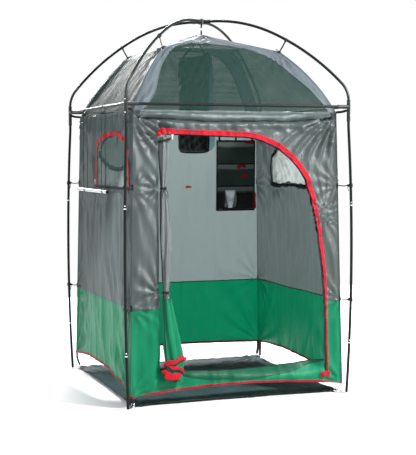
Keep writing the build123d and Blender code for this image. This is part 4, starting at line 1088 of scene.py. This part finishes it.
# ---------------------------------------------------------------------------
# inside the cabin: floor sheet, organizer, bottle, shower bag
# ---------------------------------------------------------------------------
def build_floor():
    """The loose groundsheet: crumpled, its corners drawn towards the feet."""
    columns, rows = 150, 146
    u, v = flat_grid(np.linspace(-1, 1, columns), np.linspace(-1, 1, rows))
    pinch = 1 - 0.030 * (1 - np.abs(u) ** 3) * np.abs(v) ** 3
    pinch_u = 1 - 0.030 * (1 - np.abs(v) ** 3) * np.abs(u) ** 3
    x = 0.622 * u * pinch_u + 0.004 * ripple(u, v, 4.0, 4.0, 71.0, 2)
    y = 0.022 + 0.625 * v * pinch + 0.004 * ripple(u, v, 4.0, 4.0, 73.0, 2)
    z = 0.0075 * (0.6 + 0.4 * creased(ripple(x, y, 6.5, 5.0, 75.0, 3)))
    z += 0.0040 * creased(ripple(x + 0.5 * y, y, 13.0, 7.0, 79.0, 2))
    for sx in (-1, 1):
        for sy in (-1, 1):
            z += 0.006 * rays(x, y, sx * 0.61, sy * 0.62, 0.20, 17, sx + 2 * sy)
    z = np.maximum(z, 0.0) + 0.0012
    sheet = mesh_object("floor_sheet_cloth", np.stack([x, y, z], 1), row_faces(rows, columns), MAT["floor"])
    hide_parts("floor_sheet")
    rim = rim_indices(rows, columns)
    path = np.stack([x[rim], y[rim], z[rim] + 0.001], 1)
    hem = black_strap("floor_sheet_hem", path, 0.013, 0.0024, (0, 0, 1), closed=True)
    for name, (sx, sy) in SIGNS.items():
        cord = smooth_path([(sx * 0.600, sy * 0.605 + 0.008, 0.010), (sx * 0.622, sy * 0.624, 0.016),
                            (sx * 0.640, sy * 0.642, 0.007)], 24)
        black_strap(f"floor_sheet_loop_{name}", cord, 0.009, 0.0022, (0, 0, 1))


def panel_point(u, z, inward):
    """Points inside the back wall at x = u, height z and a distance into the cabin."""
    return on_wall("back", -np.asarray(u, float), z, -np.asarray(inward, float))


INTO_CABIN = -outward("back")


def build_organizer():
    """The hanging organizer: a backing, two net pockets, a deep cloth one, bindings and elastics."""
    left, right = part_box("organizer")[0][0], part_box("organizer")[1][0]
    low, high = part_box("organizer")[0][2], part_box("organizer")[1][2]
    u, z = flat_grid(np.linspace(left, right, 44), np.linspace(low, high, 70))
    depth = 0.0048 + 0.0022 * ripple(u, z, 9.0, 6.0, 91.0, 2)
    backing = mesh_object("organizer_backing", panel_point(u, z, depth), row_faces(70, 44), MAT["panel"])
    rows = {"bottom": (1.030, 1.145, 0.040, MAT["dark_cloth"]), "middle": (1.178, 1.292, 0.0125, MAT["pocket_net"]),
            "top": (1.328, 1.442, 0.0125, MAT["pocket_net"])}
    for label, (base, top, bulge, material) in rows.items():
        u, share = flat_grid(np.linspace(left + 0.004, right - 0.004, 60), np.linspace(0, 1, 26))
        across = np.abs(2 * (u - left) / (right - left) - 1)
        crown = (1 - across ** 6) * np.sin(math.pi * np.clip(share * 0.78 + 0.06, 0, 1)) ** 0.6
        pleat = 0.0016 * np.sin(150 * u + 5 * share) * share
        dip = -0.007 * share * (1 - across ** 2)
        inward = 0.0075 + bulge * crown + pleat
        grid = row_faces(26, 60)
        materials, slots = [material], None
        if label == "bottom":
            cells = np.array(grid)
            clear = np.abs(u[cells].mean(axis=1) - 0.412) < 0.042
            clear = clear & (np.abs(share[cells].mean(axis=1) - 0.52) < 0.46)
            materials, slots = [material, MAT["sleeve"]], clear.astype(int)
        mesh_object(f"organizer_pocket_{label}", panel_point(u, base + share * (top - base) + dip, inward),
                    grid, materials, slots=slots)
        rim = panel_point(u[-60:], top + dip[-60:], inward[-60:] + 0.001)
        sweep(f"organizer_elastic_{label}", rim, 0.010, 0.0026, INTO_CABIN, MAT["elastic"], slot="organizer_cloth")
        edge = panel_point(np.linspace(left + 0.002, right - 0.002, 40), np.full(40, base), np.full(40, 0.0085))
        black_strap(f"organizer_seam_{label}", edge, 0.009, 0.0022, INTO_CABIN, slot="organizer_cloth")
    for label, x in (("left", left + 0.003), ("right", right - 0.003)):
        line = np.linspace(low, high, 60)
        black_strap(f"organizer_binding_{label}", panel_point(np.full(60, x), line, np.full(60, 0.0090)), 0.010,
                    0.0030, INTO_CABIN, slot="organizer_cloth")
    for label, height in (("top", high), ("bottom", low)):
        line = np.linspace(left, right, 40)
        black_strap(f"organizer_binding_{label}", panel_point(line, np.full(40, height), np.full(40, 0.0080)),
                    0.012, 0.0030, INTO_CABIN, slot="organizer_cloth")
    divider = panel_point(np.full(30, 0.462), np.linspace(1.180, 1.290, 30), np.full(30, 0.020))
    sweep("organizer_divider", divider, 0.008, 0.0024, INTO_CABIN, MAT["elastic"], slot="organizer_cloth")
    label_line = panel_point(np.linspace(0.500, 0.536, 12), np.full(12, 1.246), np.full(12, 0.0235))
    sweep("organizer_red_tab", label_line, 0.022, 0.0020, INTO_CABIN, MAT["red"], slot="red_trim")
    for number, x in enumerate((left + 0.02, (left + right) / 2, right - 0.02)):
        line = panel_point(np.full(14, x), np.linspace(high - 0.004, high + 0.040, 14),
                           np.linspace(0.0075, 0.0055, 14))
        black_strap(f"organizer_hanging_tab_{number + 1}", line, 0.014, 0.0022, INTO_CABIN, slot="organizer_cloth")
    for label, ends, width in (("side", [(right + 0.001, low + 0.008), (right - 0.003, 1.135)], 0.020),
                               ("corner", [(right - 0.075, high - 0.006), (right - 0.010, high - 0.016)], 0.016),
                               ("ribbon", [(0.470, 1.300), (0.505, 1.318), (0.530, 1.306)], 0.022)):
        path = smooth_path(ends, 24)
        drape = 0.0120 + 0.003 * np.sin(np.linspace(0, 9, 24))
        sweep(f"organizer_red_{label}", panel_point(path[:, 0], path[:, 1], drape), width, 0.0026,
              INTO_CABIN, MAT["red"], corner=0.6, slot="red_trim")
    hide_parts("organizer")


def build_bottle():
    """An upside-down squeeze bottle: ribbed cap, shoulder, tapered body and a crimped flat end."""
    low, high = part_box("soap_bottle")
    x, y = (low[0] + high[0]) / 2, (low[1] + high[1]) / 2
    lean = WALL_SLOPE
    rows = [(0.000, 0.013, 0.010), (0.002, 0.015, 0.011), (0.020, 0.015, 0.011), (0.0215, 0.0145, 0.0105),
            (0.023, 0.019, 0.0115), (0.028, 0.0205, 0.0120), (0.050, 0.0245, 0.0125), (0.080, 0.0300, 0.0125),
            (0.102, 0.0345, 0.0085), (0.110, 0.0360, 0.0030), (0.1115, 0.0362, 0.0016), (0.1175, 0.0362, 0.0015)]
    height = high[2] - low[2]
    angles = np.linspace(0, 2 * math.pi, 72, endpoint=False)
    fine = smooth_path([(0, a, b, c) for a, b, c in rows], 90)[:, 1:]
    points, slots = [], []
    for rise, wide, deep in fine:
        ribs = 1 + (0.035 * np.cos(36 * angles) if rise < 0.0205 else 0)
        z = low[2] + 0.0005 + rise / 0.1175 * (height - 0.001)
        middle_y = y - (z - (low[2] + high[2]) / 2) * lean
        points.append(np.stack([x + wide * ribs * np.cos(angles), middle_y + deep * ribs * np.sin(angles),
                                np.full(72, z)], 1))
    faces = row_faces(len(fine), 72, closed=True)
    faces += [tuple(range(71, -1, -1)), tuple((len(fine) - 1) * 72 + c for c in range(72))]
    bottle = mesh_object("soap_bottle_body", np.concatenate(points), faces, MAT["white_plastic"], "bottle")
    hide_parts("soap_bottle")


def bag_point(across, z, thick):
    """Points of the shower bag: across its width, height, and distance through it."""
    base_x, base_y = BAG_MIDDLE
    across, thick = np.asarray(across, float), np.asarray(thick, float)
    x = base_x - across * math.sin(BAG_TURN) + thick * math.cos(BAG_TURN)
    y = base_y + across * math.cos(BAG_TURN) + thick * math.sin(BAG_TURN)
    return np.stack(np.broadcast_arrays(x, y, z), -1)


BAG_MIDDLE = tuple((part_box("shower_bag")[0][k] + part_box("shower_bag")[1][k]) / 2 for k in (0, 1))
BAG_LOW, BAG_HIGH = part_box("shower_bag")[0][2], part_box("shower_bag")[1][2]
BAG_TURN = math.radians(10.0)
BAG_HALF, BAG_THICK = 0.178, 0.0445
BAG_RIM = -0.020                # the welded seam, toward the black side
BAG_DEPTHS = {-1: 0.0225, 1: 0.0620}


def bag_half(name, sign, material, seed):
    """One skin of the shower bag: full below, drawn flat at the welded rim and the hanging corners."""
    columns, rows = 64, 90
    u, v = flat_grid(np.linspace(-1, 1, columns), np.linspace(-1, 1, rows))
    corner = 0.93 + 0.07 * np.sqrt(np.clip(1 - (np.abs(v) ** 7) * 0.9, 0, 1))
    across = u * BAG_HALF * corner * (1 - 0.03 * np.cos(3 * v))
    rise = BAG_LOW + (v + 1) / 2 * (BAG_HIGH - BAG_LOW)
    rise = rise - 0.012 * (1 - u ** 2) * np.maximum(v, 0) ** 3 + 0.010 * np.abs(u) ** 4 * np.clip(-v, 0, 1) ** 4
    full = (np.clip(1 - np.abs(u) ** 12, 0, 1) ** 0.5) * (np.clip(1 - np.abs(v) ** 12, 0, 1) ** 0.5)
    heavy = 0.82 - 0.16 * v
    folds = 0.0045 * creased(ripple(across, rise, 9.0, 14.0, seed, 3)) * full ** 0.5
    for side in (-1, 1):
        folds = folds + 0.005 * rays(across, rise, side * 0.14, BAG_HIGH, 0.15, 15, seed + side) * full ** 0.4
    folds = folds + 0.0035 * np.sin(110 * rise + 8 * u) * full * smoothstep((np.abs(v) - 0.1) / 0.3)
    thick = BAG_RIM + sign * (0.0015 + BAG_DEPTHS[sign] * full * heavy + folds * 0.8)
    thick = np.clip(thick, -BAG_THICK - 0.004, BAG_THICK + 0.004)
    return mesh_object(name, bag_point(across, rise, thick), row_faces(rows, columns), material, "hanging_bag"), (across, rise, columns, rows)


def build_bag():
    """The hanging shower bag: a black back, a clear front, a welded rim, a hose outlet and its hanger."""
    back, (across, rise, columns, rows) = bag_half("shower_bag_black_side", -1, MAT["vinyl"], 101.0)
    front, _ = bag_half("shower_bag_clear_side", 1, MAT["clear_vinyl"], 113.0)
    work = bmesh.new()
    work.from_mesh(back.data)
    work.from_mesh(front.data)
    for face in list(work.faces)[len(back.data.polygons):]:
        face.material_index = 1
    bmesh.ops.remove_doubles(work, verts=work.verts, dist=0.0040)
    bmesh.ops.recalc_face_normals(work, faces=work.faces)
    back.data.materials.append(MAT["clear_vinyl"])
    work.to_mesh(back.data)
    work.free()
    bpy.data.objects.remove(front)
    back.name = "shower_bag_skin"
    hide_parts("shower_bag")
    rim = rim_indices(rows, columns)
    path = bag_point(across[rim], rise[rim], BAG_RIM)
    facing = (math.cos(BAG_TURN), math.sin(BAG_TURN), 0)
    sweep("shower_bag_welded_rim", path, 0.013, 0.0050, facing, MAT["vinyl"], "hanging_bag", closed=True,
          slot="bag_vinyl")
    turned("shower_bag_filler_cap", bag_point(-0.02, BAG_HIGH - 0.09, BAG_THICK * 0.62), facing,
           [(0.021, -0.012), (0.021, 0.002), (0.019, 0.004), (0.016, 0.005), (0.016, 0.012), (0.014, 0.014),
            (0.0, 0.0145)], MAT["black_plastic"], "hanging_bag", 36)
    valve = bag_point(0.02, BAG_LOW + 0.012, BAG_RIM)
    outline = [(0.010, -0.02), (0.010, 0.0), (0.0075, 0.002), (0.0075, 0.0095), (0.0, 0.010)]
    turned("shower_bag_spout", valve, (0, 0, -1), outline, MAT["black_plastic"], "hanging_bag", 24)

    pin = np.array(BAG_PIN)
    along = np.array([-math.sin(BAG_TURN), math.cos(BAG_TURN), 0.0])
    for label, side in (("front", -1), ("rear", 1)):
        foot = bag_point(side * 0.128, BAG_HIGH - 0.016, BAG_RIM)
        line = smooth_path([foot, bag_point(side * 0.124, BAG_HIGH + 0.010, BAG_RIM),
                            pin + along * side * 0.034 - [0, 0, 0.040],
                            pin + along * side * 0.0075 - [0, 0, 0.012],
                            pin + along * side * 0.0075 + [0, 0, 0.003]], 50)
        strap = black_strap(f"shower_bag_strap_{label}", line, 0.013, 0.0026, facing, "hanging_bag")
        if side < 0:
            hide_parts("bag_hanger")
        patch = np.array([bag_point(side * 0.128, BAG_HIGH + d, BAG_RIM) for d in np.linspace(-0.045, 0.004, 12)])
        sweep(f"shower_bag_strap_patch_{label}", patch, 0.030, 0.0070, facing, MAT["vinyl"], "hanging_bag",
              slot="bag_vinyl")
    turned("shower_bag_pin", pin - along * 0.0105, along,
           [(0.0, 0.0), (0.0052, 0.0002), (0.0055, 0.0016), (0.0030, 0.0022), (0.0030, 0.0188), (0.0055, 0.0194),
            (0.0052, 0.0208), (0.0, 0.0210)], MAT["steel"], "hanging_bag", 24)
    eye = pin + 0.0058 * spokes_of(np.linspace(0, 2 * math.pi, 40, endpoint=False), facing, (0, 0, 1))
    ring("bag_tab_eye", eye, 0.0021, MAT["steel"], along)
    tab = [pin + [0, 0, 0.0065], pin + [0, 0, 0.012], pin + [0.004, 0, 0.0185]]
    black_strap("bag_tab", smooth_path(tab, 12), 0.012, 0.0030, along)


def ring(name, path, radius, material, facing, body=FRAME_BODY, slot="webbing"):
    """A closed round ring whose section is steady about a facing direction."""
    return sweep(name, path, 2 * radius, 2 * radius, facing, material, body, closed=True, corner=1.0, slot=slot)


# ---------------------------------------------------------------------------
# ties, hooks, rail and joint pins
# ---------------------------------------------------------------------------
def leg_radius(z):
    """Distance of the legs' centre line from the tent's axis at a height."""
    peak = (0.686 - 0.008) * math.sqrt(2)
    foot, bow = 0.9334, 12.5
    centre = bow * math.sin(math.acos((foot - (peak - bow)) / bow))
    return peak - bow + math.sqrt(bow**2 - (z - centre) ** 2)


def build_pole_ties():
    """A cord from each cabin corner, knotted and wound round its leg, at two heights."""
    first = None
    for name, sx, sy, away, side in corners():
        for z in TIE_Z:
            start = np.array([sx * wall_half(z), sy * wall_half(z), z])
            centre = away * leg_radius(z) + [0, 0, z]
            near = centre - away * 0.0105
            label = f"{name}_{'upper' if z > 1 else 'lower'}"
            slack = (start + near) / 2 - [0, 0, 0.0035]
            cord = black_cord(f"pole_tie_{label}", smooth_path([start, slack, near], 26), 0.0030)
            first = first or cord
            turns = np.linspace(0, 2 * math.pi * 3, 90)
            wind = (centre + 0.0100 * spokes_of(turns, away, side)
                    + np.array([0, 0, 1.0]) * ((turns / turns[-1] - 0.5) * 0.017)[:, None])
            black_cord(f"pole_tie_wrap_{label}", wind, 0.0026)
            knot_piece(f"pole_tie_knot_{label}", centre - away * 0.0150 - [0, 0, 0.001], 0.0065)
            tail = smooth_path([centre - away * 0.016, centre - away * 0.020 + side * 0.008 - [0, 0, 0.014],
                                centre - away * 0.017 + side * 0.012 - [0, 0, 0.034]], 16)
            black_cord(f"pole_tie_tail_{label}", tail, 0.0017)
            patch = np.array([start + away * 0.001 + [0, 0, d] for d in np.linspace(-0.016, 0.016, 8)])
            black_strap(f"pole_tie_patch_{label}", patch, 0.014, 0.0036, away)
        build_foot_strap(name, away, side, sy)
    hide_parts("pole_ties")


def build_foot_strap(name, away, side, sy):
    """The webbing from a wall's bottom corner to the ring on the foot's hook."""
    hem = 0.060 if sy < 0 else 0.110
    corner = away * (wall_half(hem) * math.sqrt(2) - 0.006) + [0, 0, hem + 0.004]
    loop = away * 0.8795 + [0, 0, 0.0175]
    strap = smooth_path([corner, corner + away * 0.001 - [0, 0, (hem - 0.030) * 0.5],
                         loop + [0, 0, 0.0085]], 26)
    black_strap(f"foot_strap_{name}", strap, 0.019, 0.0026, away)
    circle = loop + 0.0095 * spokes_of(np.linspace(0, 2 * math.pi, 36, endpoint=False), side, (0, 0, 1))
    ring(f"foot_ring_{name}", circle, 0.0016, MAT["steel"], away, slot="ring_steel")


def build_roof_ties():
    """Ties from the arches to the hips, and the peak's loop through the crown's ring."""
    first = None
    for name, sx, sy, away, side in corners():
        low, high = away * 0.511 + [0, 0, 1.9935], away * 0.5455 + [0, 0, 2.0500]
        bend = (low + high) / 2 + away * 0.0012
        tie = black_strap(f"roof_tie_{name}", smooth_path([low, bend, high], 24), 0.0085, 0.0026, side)
        first = first or tie
        centre = away * 0.5500 + [0, 0, 2.0575]
        slope = unit(np.array([*(away[:2] * 0.83), -0.56]))
        normal = np.cross(side, slope)
        turns = np.linspace(0, 2 * math.pi * 2, 60)
        wind = (centre + 0.0100 * spokes_of(turns, normal, side)
                + slope * ((turns / turns[-1] - 0.5) * 0.012)[:, None])
        black_cord(f"roof_tie_wrap_{name}", wind, 0.0022)
        patch = np.array([away * (0.505 + d) + [0, 0, 1.9955 - 0.62 * d] for d in np.linspace(-0.016, 0.012, 8)])
        black_strap(f"roof_tie_patch_{name}", patch, 0.022, 0.0030, (away[0] * 0.5, away[1] * 0.5, 0.86))
    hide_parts("roof_ties")
    loop = smooth_path([(0, -0.003, 2.1135), (0, -0.0065, 2.125), (0, -0.003, 2.1375), (0, 0.003, 2.1375),
                        (0, 0.0065, 2.125), (0, 0.003, 2.1135)], 44)
    black_cord("roof_peak_loop", loop, 0.0028)
    turned("roof_peak_patch", (0, 0, 2.1105), (0, 0, 1), [(0.030, -0.0105), (0.029, -0.0070), (0.012, -0.0005),
                                                        (0.007, 0.0035), (0.0, 0.0045)], MAT["strap"])


def flat_on(path, axis):
    """Facings that lay a band's width along an axis."""
    return np.cross(unit(np.gradient(np.asarray(path, float), axis=0)), axis)


def build_corner_straps():
    """Webbing from each top corner of the cabin to its corner fitting."""
    for name, sx, sy, away, side in corners():
        start = np.array([sx * wall_half(1.630), sy * wall_half(1.630), 1.630])
        centre = away * LEG_TOP_REACH + [0, 0, 1.640]
        path = smooth_path([start, (start + centre) / 2 - [0, 0, 0.002], centre - away * 0.0112], 20)
        black_strap(f"corner_strap_{name}", path, 0.014, 0.0024, side)


def build_towel_straps():
    """Webbing hangers, each a loop over the top bar and round the rail."""
    for number, y in enumerate((-0.170, 0.260)):
        loop = [(-0.6505, y, 1.6675), (-0.6610, y, 1.6722), (-0.6722, y, 1.664), (-0.6726, y, 1.640),
                (-0.6735, y, 1.40), (-0.6738, y, 1.19), (-0.6728, y, 1.171), (-0.662, y, 1.1632),
                (-0.6512, y, 1.171), (-0.6505, y, 1.19), (-0.6508, y, 1.40),
                (-0.6500, y, 1.640), (-0.6505, y, 1.6665)]
        path = smooth_path(loop, 170)
        black_strap(f"towel_rail_strap_{number + 1}", path, 0.0115, 0.0019, flat_on(path, (0, 1, 0)),
                                  "towel_rack")
    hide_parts("towel_straps")


def build_pins():
    """Bright spring pins at the legs' joints, and the collars where sections meet."""
    angles = np.linspace(0, 2 * math.pi, 40, endpoint=False)
    spokes = np.stack([np.cos(angles), np.sin(angles), np.zeros(40)], 1)
    for name, sx, sy, away, side in corners():
        for label, split in LEG_SPLITS:
            facing = unit(np.array([-0.34, -0.94, 0.0])) if sy < 0 else -away
            button_parts(f"leg_pin_{label}_{name}", away * leg_radius(split + 0.016) + facing * 0.0078
                         + [0, 0, split + 0.016], facing, 0.0036, MAT["steel"])
            circle = away * leg_radius(split) + [0, 0, split] + 0.0083 * spokes
            sweep(f"leg_collar_{label}_{name}", circle, 0.0055, 0.0011, spokes, MAT["steel"], closed=True,
                  corner=0.8, slot="button_steel")


# ---------------------------------------------------------------------------
# camera, lights and floor
# ---------------------------------------------------------------------------
def soft_light(name, place, target, size, power, color=(1, 1, 1)):
    data = bpy.data.lights.new(name, "AREA")
    data.shape = "SQUARE"
    data.size = size
    data.energy = power
    data.color = color
    lamp = bpy.data.objects.new(name, data)
    lamp.location = place
    lamp.rotation_euler = (Vector(target) - Vector(place)).to_track_quat("-Z", "Y").to_euler()
    bpy.context.collection.objects.link(lamp)


def stage_and_camera():
    """A pale floor, soft lights and the camera."""
    reach = 4.4
    bpy.ops.mesh.primitive_plane_add(size=2 * reach, location=(0, 0, -0.001))
    floor = bpy.context.object
    floor.name = "studio_floor"
    material, tree, surface = shader("studio_floor", (0.56, 0.56, 0.56), 0.9)
    tone = ramp(tree, noise_node(tree, 0.6, 2.0), [(0.3, (0.55,) * 3), (0.7, (0.57,) * 3)])
    tree.links.new(tone, surface.inputs["Base Color"])
    floor.data.materials.append(material)

    soft_light("key", (4.4, -4.6, 5.2), (0, 0, 1.0), 1.4, 1550)
    soft_light("fill", (-4.8, -2.2, 2.6), (0, 0, 1.0), 2.0, 90, (0.70, 0.82, 1.0))
    soft_light("back", (0.6, 5.4, 3.6), (0, 0, 1.1), 2.6, 1000)

    world = bpy.data.worlds.new("studio")
    world.use_nodes = True
    background = world.node_tree.nodes["Background"]
    background.inputs["Color"].default_value = (1, 1, 1, 1)
    background.inputs["Strength"].default_value = 1.0
    scene = bpy.context.scene
    scene.world = world
    scene.view_settings.view_transform = "Standard"

    data = bpy.data.cameras.new("camera")
    data.sensor_width = 36.0
    data.lens = 90.13
    camera = bpy.data.objects.new("camera", data)
    yaw, pitch, roll = 0.3461, -0.0615, -0.0014
    camera.location = (-2.3276, -6.5699, 1.3723)
    camera.rotation_euler = (Euler((0, 0, -yaw)).to_matrix() @ Euler((math.pi / 2 + pitch, 0, 0)).to_matrix()
                             @ Euler((0, 0, roll)).to_matrix()).to_euler()
    bpy.context.collection.objects.link(camera)
    scene.camera = camera


def paint_frame():
    """Give every CAD part that keeps its shape its finish."""
    finishes = {
        "pole": ["leg_lower", "leg_middle", "leg_upper", "arch_", "top_bar"],
        "fitting": ["corner_fitting", "crown_hub", "arch_elbows"],
        "steel": ["button", "crown_ring", "foot_hooks", "slider"],
        "rail": ["towel_bar"],
        "black_plastic": ["towel_bar_caps", "bag_hanger"],
        "strap": ["towel_straps"],
        "red_plastic": ["wall_toggle"],
        "white_plastic": ["soap_bottle"],
    }
    for key, starts in finishes.items():
        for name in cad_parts:
            if any(name.startswith(s) or s == "slider" and s in name for s in starts):
                made = bpy.data.objects[name]
                made.data.materials.clear()
                made.data.materials.append(MAT[key])


# ---------------------------------------------------------------------------
# build
# ---------------------------------------------------------------------------
paint_frame()
walls = build_walls()
build_roof()
for side in WINDOW_ENDS:
    build_window(side, walls[side])
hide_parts("window_panels")
build_door_flap()
build_sill_fold()
build_door_roll()
build_floor()
build_organizer()
build_bottle()
build_bag()
build_pole_ties()
build_roof_ties()
build_corner_straps()
build_towel_straps()
build_pins()
stage_and_camera()
